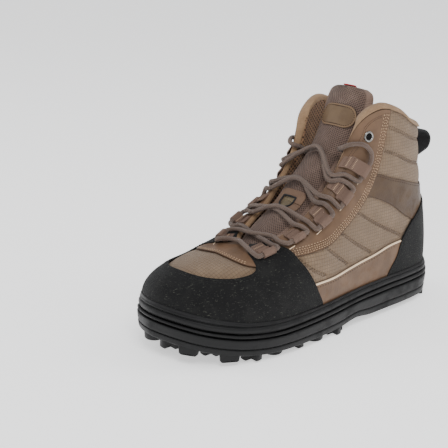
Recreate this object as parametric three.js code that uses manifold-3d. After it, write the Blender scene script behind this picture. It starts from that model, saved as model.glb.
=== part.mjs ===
// A left wading boot: lugged rubber sole, ankle-high upper laced through webbing loops, padded tongue.
// Millimetres. +X points to the toe, +Y to the outer side of the foot and +Z up. The origin is on the
// floor, in the middle of the boot's footprint, pull loop included.

import * as THREE from 'three';
import { mergeVertices } from 'three/addons/utils/BufferGeometryUtils.js';
import Module from 'manifold-3d';

const wasm = await Module();
wasm.setup();

// Driving dimensions
const soleLength = 318;
const soleWidth = 121;
const collarHeight = 196;
const heelPlatform = 33;
const ballPlatform = 30;
const toePlatform = 44;
const lugHeight = 5;
const toeLift = 13.2;
const archRise = 2.5;
const soleInset = 6.5;

// Walls and soft goods
const wall = 2.6;
const collarPad = 7;
const guardThick = 1.8;
const facingThick = 1.4;
const insoleThick = 4;
const insoleDraft = 1.5;
const webbingThick = 1.2;
const webbingWidth = 12;
const laceWide = 4;
const patchThick = 1.2;

// Clearances: between pieces that touch, and across a seam between two overlays
const fitGap = 0.3;
const seamGap = 0.5;

// Sole details
const bandHeel = 5;
const bandBall = 6.8;
const bandToe = 7.3;
const rimHeight = 3;
const lugPitchX = 24;
const lugPitchY = 22.5;
const lugMargin = 2;
const lugEdge = 1.5;
const lugSeat = 1;
const studWide = 16;
const crossWide = 18;
const crossArm = 6.5;

// Eyelets
const eyeletHole = 5;
const eyeletWide = 9.6;
const eyeletPlate = 1;
const eyeletWall = 0.5;
const eyeletBevel = 0.6;
const drainWide = 8.4;

// Pull loop
const pullWide = 17;
const pullThick = 1.8;
const pullReach = 30;

// Fineness of the meshes
const perRib = 2;
const skinRows = 7;
const liningRows = 4;

const named = (columns, rows) => rows.map((row) => (
  Object.fromEntries(columns.map((name, k) => [name, row[k]]))
));

// Ribs of the last from the heel to the toe. 'at' and 'topAt' are shares of the sole's length, 'outer',
// 'inner', 'topHalf' and 'flare' of its width, and 'topHigh' of the collar's height. 'rise' and the leans
// are shares of the way from the rib's foot to its top.
const ribs = named(
  ['at', 'outer', 'inner', 'topAt', 'topHalf', 'topHigh', 'rise', 'flare', 'leanX', 'leanY', 'leanZ'],
  [
    [0.000, 0.000, 0.000, 0.090, 0.000, 0.860, 0.34, 0.022, 0.95, 1.00, 0.62],
    [0.022, 0.180, 0.185, 0.106, 0.150, 0.858, 0.34, 0.020, 0.95, 0.95, 0.62],
    [0.085, 0.308, 0.315, 0.152, 0.275, 0.866, 0.33, 0.015, 0.95, 0.95, 0.62],
    [0.180, 0.357, 0.362, 0.212, 0.335, 0.902, 0.32, 0.015, 0.90, 0.90, 0.62],
    [0.280, 0.378, 0.352, 0.272, 0.352, 0.958, 0.31, 0.016, 0.85, 0.88, 0.62],
    [0.375, 0.398, 0.335, 0.342, 0.330, 0.985, 0.30, 0.018, 0.80, 0.85, 0.62],
    [0.460, 0.428, 0.337, 0.406, 0.285, 0.930, 0.28, 0.020, 0.72, 0.62, 0.64],
    [0.545, 0.463, 0.376, 0.438, 0.240, 0.800, 0.26, 0.022, 0.66, 0.52, 0.66],
    [0.625, 0.486, 0.430, 0.484, 0.225, 0.670, 0.27, 0.024, 0.62, 0.46, 0.70],
    [0.705, 0.494, 0.482, 0.544, 0.212, 0.556, 0.30, 0.026, 0.58, 0.44, 0.74],
    [0.790, 0.475, 0.505, 0.614, 0.192, 0.476, 0.36, 0.026, 0.54, 0.44, 0.78],
    [0.875, 0.410, 0.478, 0.666, 0.155, 0.437, 0.46, 0.030, 0.50, 0.46, 0.82],
    [0.955, 0.250, 0.375, 0.702, 0.080, 0.418, 0.58, 0.034, 0.48, 0.46, 0.87],
    [1.000, -0.075, 0.075, 0.712, -0.010, 0.412, 0.62, 0.034, 0.48, 0.46, 0.90],
  ],
);
const innerCollar = 0.985;

// The ribs in one loop: heel, outer side, toe, inner side
const loop = [...ribs, ...ribs.slice(1, -1).reverse()];
const onOuter = (index) => index < ribs.length;
const shape = {
  footX: loop.map((rib) => (rib.at - 0.5) * soleLength),
  footY: loop.map((rib, k) => (onOuter(k) ? rib.outer : -rib.inner) * soleWidth),
  topX: loop.map((rib) => (rib.topAt - 0.5) * soleLength),
  topY: loop.map((rib, k) => (onOuter(k) ? rib.topHalf : -rib.topHalf) * soleWidth),
  topZ: loop.map((rib, k) => rib.topHigh * collarHeight * (onOuter(k) ? 1 : innerCollar)),
  flare: loop.map((rib) => rib.flare * soleWidth),
  rise: loop.map((rib) => rib.rise),
  leanX: loop.map((rib) => rib.leanX),
  leanY: loop.map((rib) => rib.leanY),
  leanZ: loop.map((rib) => rib.leanZ),
};
const mirrored = (u) => loop.length - u;

// A smooth curve through a column of numbers, at a fractional row
function smooth(values, at, closed) {
  const count = values.length;
  const row = closed ? Math.floor(at) : Math.min(Math.max(Math.floor(at), 0), count - 2);
  const share = at - row;
  const pick = (k) => values[closed ? ((k % count) + count) % count : Math.min(Math.max(k, 0), count - 1)];
  const [a, b, c, d] = [row - 1, row, row + 1, row + 2].map(pick);
  const bend = 2 * a - 5 * b + 4 * c - d + share * (3 * (b - c) + d - a);
  return b + 0.5 * share * (c - a + share * bend);
}

const mix = (a, b, share) => a + (b - a) * share;
const ramp = (value, from, to) => THREE.MathUtils.smoothstep(value, from, to);

// A height along the sole: heel, ball and the sprung toe
const heelEnd = 0.25;
const ballEnd = 0.72;
function along(x, heel, ball, toe) {
  const t = x / soleLength + 0.5;
  if (t > ballEnd) return ball + (toe - ball) * ((t - ballEnd) / (1 - ballEnd)) ** 2;
  return mix(heel, ball, Math.min(Math.max((t - heelEnd) / (ballEnd - heelEnd), 0), 1));
}
const platform = (x) => along(x, heelPlatform, ballPlatform, toePlatform);
const outsoleTop = (x) => platform(x) - along(x, bandHeel, bandBall, bandToe);
const lugTip = (x) => along(x, 0, 0, toeLift);
const archFrom = 0.34;
const archTo = 0.5;
function treadBase(x) {
  const t = x / soleLength + 0.5;
  const span = Math.min(Math.max((t - archFrom) / (archTo - archFrom), 0), 1);
  return lugTip(x) + lugHeight + archRise * Math.sin(Math.PI * span) ** 2;
}

// The sole's outline, drawn in by an inset, and its outward direction
const step = 1e-3;
function outward(u) {
  const dx = smooth(shape.footX, u + step, true) - smooth(shape.footX, u - step, true);
  const dy = smooth(shape.footY, u + step, true) - smooth(shape.footY, u - step, true);
  return new THREE.Vector3(-dy, dx, 0).normalize();
}
function outline(u, inset, z) {
  const place = new THREE.Vector3(smooth(shape.footX, u, true), smooth(shape.footY, u, true), 0);
  place.addScaledVector(outward(u), -inset);
  place.z = typeof z === 'function' ? z(place.x) : z;
  return place;
}

// The outside of the upper's wall: u runs round the ribs, v from the sole (0) to the top edge (1)
function last(u, v) {
  const foot = outline(u, soleInset, platform);
  const value = (column) => smooth(shape[column], u, true);
  const top = new THREE.Vector3(value('topX'), value('topY'), value('topZ'));
  const bulge = foot.clone().addScaledVector(outward(u), value('flare'));
  bulge.z = mix(foot.z, top.z, value('rise'));
  const shoulder = new THREE.Vector3(
    mix(foot.x, top.x, value('leanX')),
    mix(foot.y, top.y, value('leanY')),
    mix(foot.z, top.z, value('leanZ')),
  );
  const w = 1 - v;
  return foot.multiplyScalar(w ** 3)
    .addScaledVector(bulge, 3 * v * w * w)
    .addScaledVector(shoulder, 3 * v * v * w)
    .addScaledVector(top, v ** 3);
}
function lastNormal(u, v) {
  const round = last(u + step, v).sub(last(u - step, v));
  const up = last(u, v + step).sub(last(u, v - step));
  return up.cross(round).normalize();
}
const skin = (u, v, off) => last(u, v).addScaledVector(lastNormal(u, v), off);

// The wall is thicker round the padded collar
const padFrom = 0.55;
const padFull = 0.8;
const padReach = 6;
const padEnd = 7.4;
function wallAt(u, v) {
  const fromHeel = Math.min(u, mirrored(u));
  return mix(wall, collarPad, ramp(v, padFrom, padFull) * (1 - ramp(fromHeel, padReach, padEnd)));
}

// Solids

function closedSolid(points, faces) {
  let volume = 0;
  for (const [a, b, c] of faces) volume += points[a].dot(points[b].clone().cross(points[c]));
  const turned = volume < 0 ? faces.map(([a, b, c]) => [a, c, b]) : faces;
  return new wasm.Manifold(new wasm.Mesh({
    numProp: 3,
    vertProperties: Float32Array.from(points.flatMap((place) => place.toArray())),
    triVerts: Uint32Array.from(turned.flat()),
  }));
}

// Rings of points joined one to the next. A closed row of rings makes a hoop; an open one gets its two
// ends filled, point j to point (pair - j) of the same ring.
function loft(rings, pair) {
  const count = rings[0].length;
  const hoop = pair === undefined;
  const at = (ring, j) => (ring % rings.length) * count + (j % count);
  const faces = [];
  const quad = (a, b, c, d) => {
    if (a !== b && b !== c && c !== a) faces.push([a, b, c]);
    if (a !== c && c !== d && d !== a) faces.push([a, c, d]);
  };
  for (let i = 0; i < (hoop ? rings.length : rings.length - 1); i++) {
    for (let j = 0; j < count; j++) quad(at(i, j), at(i, j + 1), at(i + 1, j + 1), at(i + 1, j));
  }
  if (!hoop) {
    for (let j = 0; 2 * j < pair; j++) {
      const far = pair - j;
      quad(at(0, j), at(0, far), at(0, far - 1), at(0, j + 1));
      const end = rings.length - 1;
      quad(at(end, j), at(end, j + 1), at(end, far - 1), at(end, far));
    }
  }
  return closedSolid(rings.flat(), faces);
}

function solidOf(geometry) {
  const bare = geometry.index ? geometry.toNonIndexed() : geometry.clone();
  bare.deleteAttribute('normal');
  bare.deleteAttribute('uv');
  const merged = mergeVertices(bare, 1e-4);
  const places = merged.attributes.position;
  const points = Array.from({ length: places.count }, (_, k) => (
    new THREE.Vector3().fromBufferAttribute(places, k)
  ));
  const faces = Array.from({ length: merged.index.count / 3 }, (_, k) => (
    [0, 1, 2].map((corner) => merged.index.getX(3 * k + corner))
  ));
  return closedSolid(points, faces);
}

function geometryOf(solid) {
  const mesh = solid.getMesh();
  const geometry = new THREE.BufferGeometry();
  geometry.setAttribute('position', new THREE.BufferAttribute(mesh.vertProperties, mesh.numProp));
  geometry.setIndex(new THREE.BufferAttribute(mesh.triVerts, 1));
  geometry.computeVertexNormals();
  return geometry;
}

function steps(count, from = 0, to = 1) {
  return Array.from({ length: count + 1 }, (_, k) => mix(from, to, k / count));
}

// The places round the loop where every ring has a point
const columns = steps(loop.length * perRib, 0, loop.length).slice(0, -1);
const soleRing = (inset, z) => columns.map((u) => outline(u, inset, z));

// Sole

// Side of the outsole from the tread up: inset of the wall, and share of its height
const sideRows = named(['inset', 'high'], [
  [3.6, 0.00],
  [1.3, 0.08],
  [0.8, 0.29],
  [1.7, 0.32],
  [0.0, 0.74],
  [1.9, 0.80],
  [0.3, 0.88],
  [0.8, 1.00],
]);

function insideOutline(x, y, margin) {
  const ring = soleRing(margin, 0);
  let inside = false;
  ring.forEach((a, k) => {
    const b = ring[(k + 1) % ring.length];
    if (a.y > y !== b.y > y && x < mix(a.x, b.x, (y - a.y) / (b.y - a.y))) inside = !inside;
  });
  return inside;
}

// A shape through corners given as pairs of numbers
function cornerShape(corners) {
  return new THREE.Shape(corners.map(([x, y]) => new THREE.Vector2(x, y)));
}
const polygon = (sides, radius, turn) => Array.from({ length: sides }, (_, k) => {
  const angle = (2 * Math.PI * (k + turn)) / sides;
  return [radius * Math.cos(angle), radius * Math.sin(angle)];
});

const studSides = 8;
const studShape = () => cornerShape(polygon(studSides, studWide / 2, 0.5));
function crossShape() {
  const arm = crossArm / 2;
  const tip = crossWide / 2;
  const quarters = [0, 1, 2, 3].map((k) => (k * Math.PI) / 2);
  return cornerShape(quarters.flatMap((angle) => [[tip, -arm], [tip, arm], [arm, arm]].map(([x, y]) => [
    x * Math.cos(angle) - y * Math.sin(angle),
    x * Math.sin(angle) + y * Math.cos(angle),
  ])));
}

// Crosses and studs in turn on a grid over heel and forefoot, with none under the arch
function lugs() {
  const rows = Math.floor(soleLength / 2 / lugPitchX);
  const across = Math.floor(soleWidth / 2 / lugPitchY);
  const solids = [];
  for (let i = -rows; i <= rows; i++) {
    for (let j = -across; j <= across; j++) {
      const x = i * lugPitchX;
      const y = j * lugPitchY;
      const t = x / soleLength + 0.5;
      if ((t > archFrom && t < archTo) || !insideOutline(x, y, lugMargin)) continue;
      const top = Math.max(treadBase(x - studWide / 2), treadBase(x + studWide / 2)) + lugSeat;
      const block = new THREE.ExtrudeGeometry((i + j) % 2 ? studShape() : crossShape(), {
        depth: top - lugTip(x),
        bevelEnabled: false,
      });
      solids.push(solidOf(block.translate(x, y, lugTip(x))));
    }
  }
  return wasm.Manifold.union(solids);
}

function outsoleSolid() {
  const level = (share) => (x) => mix(treadBase(x), outsoleTop(x), share);
  const body = loft(sideRows.map((row) => soleRing(row.inset, level(row.high))), columns.length);
  const edge = loft([0, toePlatform].map((high) => soleRing(lugEdge, high)), columns.length);
  return body.add(lugs().intersect(edge)).simplify(edgeTolerance);
}

// The rim stands off the upper by its overlays and a gap on either side of them
const rimStand = fitGap + guardThick + fitGap;
const bandRows = named(['inset', 'high'], [
  [2.6, 0.0],
  [1.6, 0.3],
  [1.9, 0.6],
  [2.8, 0.9],
]);
const rimShare = (u) => rimHeight / (last(u, 1).z - last(u, 0).z);

function midsoleSolid() {
  const bottom = (x) => outsoleTop(x) + fitGap;
  const top = (x) => platform(x) + rimHeight;
  const side = bandRows.map((row) => soleRing(row.inset, (x) => mix(bottom(x), top(x), row.high)));
  const rimTop = columns.map((u) => skin(u, rimShare(u), rimStand));
  const shoulder = rimTop.map((place, k) => side.at(-1)[k].clone().lerp(place, 0.5).setZ(place.z));
  const rimFoot = soleRing(soleInset - rimStand, (x) => platform(x) - fitGap);
  return loft([...side, shoulder, rimTop, rimFoot], columns.length);
}

function insoleSolid() {
  const inset = soleInset + wall + 2 * fitGap;
  const foot = soleRing(inset, platform);
  const top = soleRing(inset + insoleDraft, (x) => platform(x) + insoleThick);
  return loft([foot, top], columns.length);
}

// Upper

const rimRound = 0.3;
function upperSolid() {
  const rings = columns.map((u) => {
    const outside = steps(skinRows).map((v) => last(u, v));
    const inside = steps(liningRows).slice(1).map((v) => skin(u, v, -wallAt(u, v)));
    const foot = outline(u, soleInset + wall, platform);
    const edge = last(u, 1).sub(last(u, 1 - step)).normalize();
    const crown = outside.at(-1).clone().lerp(inside.at(-1), 0.5);
    crown.addScaledVector(edge, wallAt(u, 1) * rimRound);
    return [...outside, crown, ...inside.reverse(), foot];
  });
  return loft(rings);
}

function overlayShell(thick) {
  const wallFace = (u, off) => [
    outline(u, soleInset - off, platform),
    ...steps(skinRows).slice(1).map((v) => skin(u, v, off)),
  ];
  return loft(columns.map((u) => [...wallFace(u, fitGap), ...wallFace(u, fitGap + thick).reverse()]));
}

// A block that stands through the wall, ruled between two edges drawn on the last. Each row holds a place
// on one edge and the facing place on the other. The margin draws the edges in, or out where negative.
const cutterRows = 1;
const cutterLow = -1.5;
const cutterHigh = 5;
const cutterAcross = 6;
function cutter(rows, margin) {
  const value = (column, at) => smooth(rows.map((row) => row[column]), at, false);
  const length = rows.length - 1;
  const middle = (row) => last((row.u1 + row.u2) / 2, (row.v1 + row.v2) / 2);
  const first = margin / middle(rows[0]).distanceTo(middle(rows[1]));
  const final = margin / middle(rows[length]).distanceTo(middle(rows[length - 1]));
  const spans = steps(length * cutterRows, first, length - final).map((at) => {
    const [u1, v1, u2, v2] = ['u1', 'v1', 'u2', 'v2'].map((column) => value(column, at));
    const width = last(u1, v1).distanceTo(last(u2, v2));
    const in1 = margin / Math.max(width, 1);
    const face = (shares, off) => shares.map((share) => skin(mix(u1, u2, share), mix(v1, v2, share), off));
    const shares = steps(cutterAcross, in1, 1 - in1);
    return [...face(shares, cutterHigh), ...face([...shares].reverse(), cutterLow)];
  });
  return loft(spans, 2 * cutterAcross + 1);
}

const edgeColumns = ['u1', 'v1', 'u2', 'v2'];
const below = -0.04;
const above = 1.04;
const flip = (rows) => rows.map((row) => ({ ...row, u1: mirrored(row.u1), u2: mirrored(row.u2) }));
const bothSides = (rows) => [...rows, ...flip(rows.slice(0, -1)).reverse()];

// Toe cap: its outer edge along the sole and up the wing, its inner edge round the vamp to the throat
const capHalf = named(edgeColumns, [
  [11.20, above, 12.40, above],
  [10.57, 0.90, 11.75, 0.86],
  [9.72, 0.73, 11.25, 0.745],
  [9.08, 0.55, 10.97, 0.665],
  [8.37, 0.37, 10.90, 0.63],
  [7.73, 0.185, 10.87, 0.605],
  [7.25, below, 10.90, 0.58],
  [8.60, below, 11.00, 0.555],
  [10.0, below, 11.30, 0.52],
  [11.0, below, 11.70, 0.492],
  [12.0, below, 12.30, 0.470],
  [13.0, below, 13.00, 0.475],
]);
const capRegion = bothSides(capHalf);

// Heel counter: the two front edges, from the sole to the point behind the ankle
const counterRegion = named(['half', 'high'], [
  [4.00, below],
  [3.78, 0.05],
  [3.50, 0.133],
  [3.32, 0.236],
  [2.96, 0.324],
  [2.50, 0.40],
  [1.95, 0.464],
  [1.00, 0.50],
]).map((row) => ({ u1: row.half, v1: row.high, u2: -row.half, v2: row.high }));

// Eyestay: the throat's edge and the rear edge, from the toe cap's wing to the collar
const stayRegion = named(edgeColumns, [
  [11.3, above, 10.0, 0.66],
  [10.6, above, 9.33, 0.61],
  [9.80, above, 8.39, 0.527],
  [9.00, above, 7.43, 0.465],
  [8.40, above, 6.70, 0.462],
  [7.90, above, 6.11, 0.468],
  [7.40, above, 5.59, 0.507],
  [7.00, above, 5.24, 0.563],
  [6.60, above, 4.97, 0.638],
  [6.30, above, 4.81, 0.718],
  [5.90, above, 4.70, 0.809],
  [5.40, above, 4.60, 0.909],
  [4.90, above, 4.53, 0.992],
  [4.76, above, 4.50, above],
]);

// Side panel above the sole, and the band behind the ankle
const panelRegion = named(['u', 'high'], [
  [8.60, 0.260],
  [7.84, 0.234],
  [6.40, 0.184],
  [4.88, 0.181],
  [3.95, 0.217],
  [2.90, 0.250],
]).map((row) => ({ u1: row.u, v1: row.high, u2: row.u, v2: below }));

const bandHalf = named(['u', 'low', 'high'], [
  [5.50, 0.570, 0.680],
  [4.85, 0.530, 0.661],
  [4.01, 0.480, 0.635],
  [3.20, 0.410, 0.633],
  [2.50, 0.350, 0.622],
  [1.98, 0.300, 0.611],
  [1.00, 0.300, 0.605],
  [0.00, 0.300, 0.603],
]);
const bandRegion = [...bandHalf, ...bandHalf.slice(0, -1).map((row) => ({ ...row, u: -row.u })).reverse()]
  .map((row) => ({ u1: row.u, v1: row.high, u2: row.u, v2: row.low }));

// Vamp plate below the throat, between the toe cap's wings
const plateHalf = named(edgeColumns, [
  [10.90, 0.67, 10.90, 0.645],
  [11.38, 0.80, 11.38, 0.678],
  [11.85, 0.92, 11.85, 0.724],
  [12.40, above, 12.40, 0.768],
  [13.00, above, 13.00, 0.790],
]);
const plateRegion = bothSides(plateHalf);

const edgeTolerance = 0.18;
function overlay(shell, region, over) {
  const covers = over.map((rows) => cutter(rows, -seamGap));
  const piece = shell.intersect(cutter(region, 0));
  return (covers.length ? piece.subtract(wasm.Manifold.union(covers)) : piece).simplify(edgeTolerance);
}

// Eyelets

function standAt(u, v, off) {
  const normal = lastNormal(u, v);
  const turn = new THREE.Quaternion().setFromUnitVectors(new THREE.Vector3(0, 0, 1), normal);
  return new THREE.Matrix4().compose(skin(u, v, off), turn, new THREE.Vector3(1, 1, 1));
}

const eyeletSides = 10;
const eyeletInner = eyeletHole / 2;
const eyeletBarrel = eyeletInner + eyeletWall;
function eyeletSolid({ u, v, wide }) {
  const depth = facingThick + fitGap + wall;
  const profile = [
    [eyeletInner, -depth],
    [eyeletBarrel, -depth],
    [eyeletBarrel, 0],
    [wide / 2, 0],
    [wide / 2 - eyeletBevel, eyeletPlate],
    [eyeletInner, eyeletPlate],
  ];
  const ring = [...profile, profile[0]].map(([across, high]) => new THREE.Vector2(across, high));
  const turned = new THREE.LatheGeometry(ring, eyeletSides).rotateX(Math.PI / 2);
  return solidOf(turned.applyMatrix4(standAt(u, v, fitGap + facingThick + fitGap)));
}
function eyeletBore({ u, v }) {
  const radius = eyeletBarrel + fitGap;
  const tool = new THREE.CylinderGeometry(radius, radius, 4 * collarPad, eyeletSides);
  return solidOf(tool.rotateX(Math.PI / 2).applyMatrix4(standAt(u, v, 0)));
}
const eyelets = {
  eyelet_lateral: { u: 5.5, v: 0.876, wide: eyeletWide },
  eyelet_medial: { u: mirrored(5.5), v: 0.876, wide: eyeletWide },
  drain_eyelet_front: { u: mirrored(7.0), v: 0.115, wide: drainWide },
  drain_eyelet_rear: { u: mirrored(5.95), v: 0.115, wide: drainWide },
};

// Tongue: places on its centre line, half width, how far the sides fall back, and thickness. The shares of
// 'at' run over the sole's length from its middle, 'high' over the collar's height, 'half' over its width.
const tongueRows = named(['at', 'high', 'half', 'crown', 'thick'], [
  [0.275, 0.335, 0.120, 1.5, 2.5],
  [0.222, 0.374, 0.140, 2.5, 3.5],
  [0.180, 0.422, 0.148, 4, 5],
  [0.125, 0.482, 0.185, 6, 7],
  [0.055, 0.561, 0.200, 8, 8],
  [0.003, 0.650, 0.200, 8, 8],
  [-0.041, 0.724, 0.192, 8, 8],
  [-0.085, 0.806, 0.200, 8, 8],
  [-0.118, 0.888, 0.220, 8, 8],
  [-0.142, 0.974, 0.230, 8, 7],
  [-0.157, 1.030, 0.190, 7, 5],
  [-0.162, 1.050, 0.110, 6, 4],
]);
function tonguePath(s) {
  const value = (column) => smooth(tongueRows.map((row) => row[column]), s, false);
  return {
    x: value('at') * soleLength,
    z: value('high') * collarHeight,
    half: value('half') * soleWidth,
    crown: value('crown'),
    thick: value('thick'),
  };
}
function tongueFront(s, across, off) {
  const path = tonguePath(s);
  const ahead = tonguePath(s + step);
  const behind = tonguePath(s - step);
  const normal = new THREE.Vector3(ahead.z - behind.z, 0, behind.x - ahead.x).normalize();
  const lean = (2 * path.crown * across) / path.half;
  const place = new THREE.Vector3(path.x, across * path.half, path.z);
  place.addScaledVector(normal, -path.crown * across * across);
  return place.addScaledVector(normal.clone().setY(lean).normalize(), off);
}
const edgeShareOfThick = 0.5;
function tongueBack(s, across, off) {
  const thick = tonguePath(s).thick * mix(1, edgeShareOfThick, across * across);
  return tongueFront(s, across, -thick - off);
}

// A piece of the tongue's form between two faces, over some of its rows and of its width
const tongueEnd = tongueRows.length - 1;
function tongueLoft(front, back, places, shares) {
  const rings = places.map((s) => [
    ...shares.map((across) => front(s, across)),
    ...[...shares].reverse().map((across) => back(s, across)),
  ]);
  return loft(rings, 2 * shares.length - 1);
}
const tongueFace = (off) => (s, across) => tongueFront(s, across, off);
const tongueLining = (off) => (s, across) => tongueBack(s, across, off);
const tongueFull = [steps(tongueEnd, 0, tongueEnd), steps(6, -1, 1)];
const tongueSolid = () => tongueLoft(tongueFace(0), tongueLining(0), ...tongueFull);
const tongueShell = () => tongueLoft(tongueFace(fitGap + patchThick), tongueFace(fitGap), ...tongueFull);

// A shape laid on the tongue's face: a block along the face's normal cuts it from the shell
const patchReach = 14;
function tonguePatch(shape2d, s) {
  const middle = tongueFront(s, 0, 0);
  const out = tongueFront(s, 0, 1).sub(middle).normalize();
  const across = new THREE.Vector3(0, 1, 0);
  const frame = new THREE.Matrix4().makeBasis(across, new THREE.Vector3().crossVectors(out, across), out);
  frame.setPosition(middle);
  const block = new THREE.ExtrudeGeometry(shape2d, {
    depth: 2 * patchReach,
    bevelEnabled: false,
    curveSegments: 5,
  });
  return tongueShell().intersect(solidOf(block.translate(0, 0, -patchReach).applyMatrix4(frame)));
}

function roundedShape(wide, high, corner) {
  const shape2d = new THREE.Shape();
  const [w, h] = [wide / 2, high / 2];
  shape2d.moveTo(w, corner - h).lineTo(w, h - corner).quadraticCurveTo(w, h, w - corner, h);
  shape2d.lineTo(corner - w, h).quadraticCurveTo(-w, h, -w, h - corner);
  shape2d.lineTo(-w, corner - h).quadraticCurveTo(-w, -h, corner - w, -h);
  shape2d.lineTo(w - corner, -h).quadraticCurveTo(w, -h, w, corner - h);
  return shape2d;
}

// The oval patch near the tongue's top, and the keeper with its D-shaped hole
const patchWide = 38;
const patchHigh = 20;
const patchCorner = 9;
const patchAt = 8.35;
const keeperWide = 28;
const keeperHigh = 24;
const keeperCorner = 4;
const keeperHole = 6.5;
const keeperArc = 0.5;
const keeperBar = 3.5;
const keeperAt = 4.05;
function keeperShape() {
  const hole = new THREE.Path();
  hole.moveTo(-keeperHole, keeperBar).lineTo(-keeperHole, keeperArc);
  hole.absarc(0, keeperArc, keeperHole, Math.PI, 2 * Math.PI, false).lineTo(keeperHole, keeperBar);
  const shape2d = roundedShape(keeperWide, keeperHigh, keeperCorner);
  shape2d.holes.push(hole);
  return shape2d;
}

const topTabHalf = 0.3;
const topTabFrom = 10.1;
const topTabThick = 1;
function topTabSolid() {
  const places = steps(3, topTabFrom, tongueEnd);
  const shares = steps(3, -topTabHalf, topTabHalf);
  return tongueLoft(tongueLining(fitGap + topTabThick), tongueLining(fitGap), places, shares);
}

// Lacing: places of the webbing loops on the last, bottom to top, and the rib where the throat faces them
const outerLoops = named(['u', 'v', 'throat'], [
  [10.65, 0.764, 11.9],
  [9.39, 0.769, 10.1],
  [8.07, 0.694, 9.0],
  [6.70, 0.668, 8.15],
  [5.71, 0.713, 7.5],
]);
const innerLoops = named(['u', 'v', 'throat'], [
  [14.60, 0.880, 14.5],
  [16.60, 0.780, 15.9],
  [17.85, 0.700, 17.0],
  [19.40, 0.655, 18.0],
  [20.32, 0.675, 18.7],
]);
const ringHole = laceWide / 2 + fitGap;
const ringWide = ringHole + webbingThick;
const laceStand = fitGap + facingThick + 2 * fitGap + ringWide;

// A loop's own frame: along the throat, towards it, and out of the leather
function loopFrame(loops, k) {
  const { u, v } = loops[k];
  const before = loops[Math.max(k - 1, 0)];
  const after = loops[Math.min(k + 1, loops.length - 1)];
  const out = lastNormal(u, v);
  const upward = last(after.u, after.v).sub(last(before.u, before.v)).normalize();
  upward.addScaledVector(out, -upward.dot(out)).normalize();
  const inward = new THREE.Vector3().crossVectors(upward, out);
  if (inward.y * last(u, v).y > 0) inward.negate();
  return { centre: skin(u, v, laceStand), upward, inward, out };
}

const tailLength = 8;
const tailStart = 1;
const tabSides = 8;
function tabSolid(frame) {
  const ring = polygon(tabSides, ringWide, -tabSides / 4);
  const tail = [[tailLength, -ringWide], [tailLength, -ringHole], [ringHole + tailStart, -ringHole]];
  const profile = cornerShape([ring[0], ...tail, ...ring.slice(2)]);
  profile.holes.push(cornerShape(polygon(tabSides, ringHole, -tabSides / 4).reverse()));
  const block = new THREE.ExtrudeGeometry(profile, { depth: webbingWidth, bevelEnabled: false });
  const across = new THREE.Vector3().crossVectors(frame.inward, frame.out);
  const place = new THREE.Matrix4().makeBasis(frame.inward, frame.out, across).setPosition(frame.centre);
  return solidOf(block.translate(0, 0, -webbingWidth / 2).applyMatrix4(place));
}

// A lace through the points, with a section at each of them and more between points that lie far apart
const laceSides = 6;
const laceSpacing = 17;
function lace(points) {
  const path = new THREE.CatmullRomCurve3(points, false, 'centripetal');
  const spans = points.length - 1;
  const places = points.slice(1).flatMap((point, k) => {
    const count = Math.ceil(point.distanceTo(points[k]) / laceSpacing);
    return steps(count, k, k + 1).slice(k ? 1 : 0);
  });
  const side = new THREE.Vector3(0, 0, 1);
  const rings = places.map((at) => {
    const centre = path.getPoint(at / spans);
    const ahead = path.getTangent(at / spans);
    side.addScaledVector(ahead, -side.dot(ahead)).normalize();
    const other = new THREE.Vector3().crossVectors(ahead, side);
    return polygon(laceSides, laceWide / 2, 0).map(([a, b]) => (
      centre.clone().addScaledVector(side, a).addScaledVector(other, b)
    ));
  });
  return loft(rings, laceSides - 1);
}

const tongueLift = laceWide / 2 + patchThick + 2 * fitGap;
const crossPress = 0.85;
const crossLift = tongueLift + laceWide * crossPress;
const edgeLift = fitGap + facingThick + laceWide / 2 + webbingThick;
const frames = {
  outer: outerLoops.map((_, k) => loopFrame(outerLoops, k)),
  inner: innerLoops.map((_, k) => loopFrame(innerLoops, k)),
};

// The lace leaves a loop straight before it turns: way is 1 at the loop's upper end and -1 at its lower
const laceGrip = webbingWidth / 2;
const laceTurn = 4;
function loopEnd(frame, way, beyond) {
  return frame.centre.clone().addScaledVector(frame.upward, way * (laceGrip + beyond));
}

function tongueShareAt(x) {
  let [low, high] = [0, tongueEnd];
  while (high - low > step) {
    const middle = (low + high) / 2;
    if (tonguePath(middle).x > x) low = middle;
    else high = middle;
  }
  return low;
}

// From a loop's end over the leather to the throat's edge: how far across, and how far to the next loop
const edgeShare = 0.97;
const facingRun = named(['across', 'onward'], [
  [0.5, 0.38],
  [1.0, 0.36],
]);
function overFacing(loops, k, way) {
  const [here, next] = [loops[k], loops[k + way]];
  return facingRun.map(({ across, onward }) => {
    const u = mix(mix(here.u, here.throat, across), mix(next.u, next.throat, across), onward);
    return skin(u, mix(mix(here.v, next.v, onward), edgeShare, across), edgeLift);
  });
}

// One strand from loop k of a side up to loop k + 1 of the other side
function strand(side, k) {
  const sides = { outer: outerLoops, inner: innerLoops };
  const other = side === 'outer' ? 'inner' : 'outer';
  const [from, to] = [sides[side][k], sides[other][k + 1]];
  const lift = side === 'inner' ? crossLift : tongueLift;
  const x = (last(from.u, from.v).x + last(to.u, to.v).x) / 2;
  return [
    loopEnd(frames[side][k], 1, laceTurn),
    ...overFacing(sides[side], k, 1),
    tongueFront(tongueShareAt(x), 0, lift),
    ...overFacing(sides[other], k + 1, -1).reverse(),
    loopEnd(frames[other][k + 1], -1, laceTurn),
  ];
}

// One half of the lace: from a side's lowest loop up through the loops of both sides in turn
function climb(side) {
  const sides = [side, side === 'outer' ? 'inner' : 'outer'];
  return frames[side].flatMap((_, k) => {
    const here = sides[k % 2];
    const through = [-1, 1].map((way) => loopEnd(frames[here][k], way, 0));
    return k < frames[side].length - 1 ? [...through, ...strand(here, k)] : through;
  });
}

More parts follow.
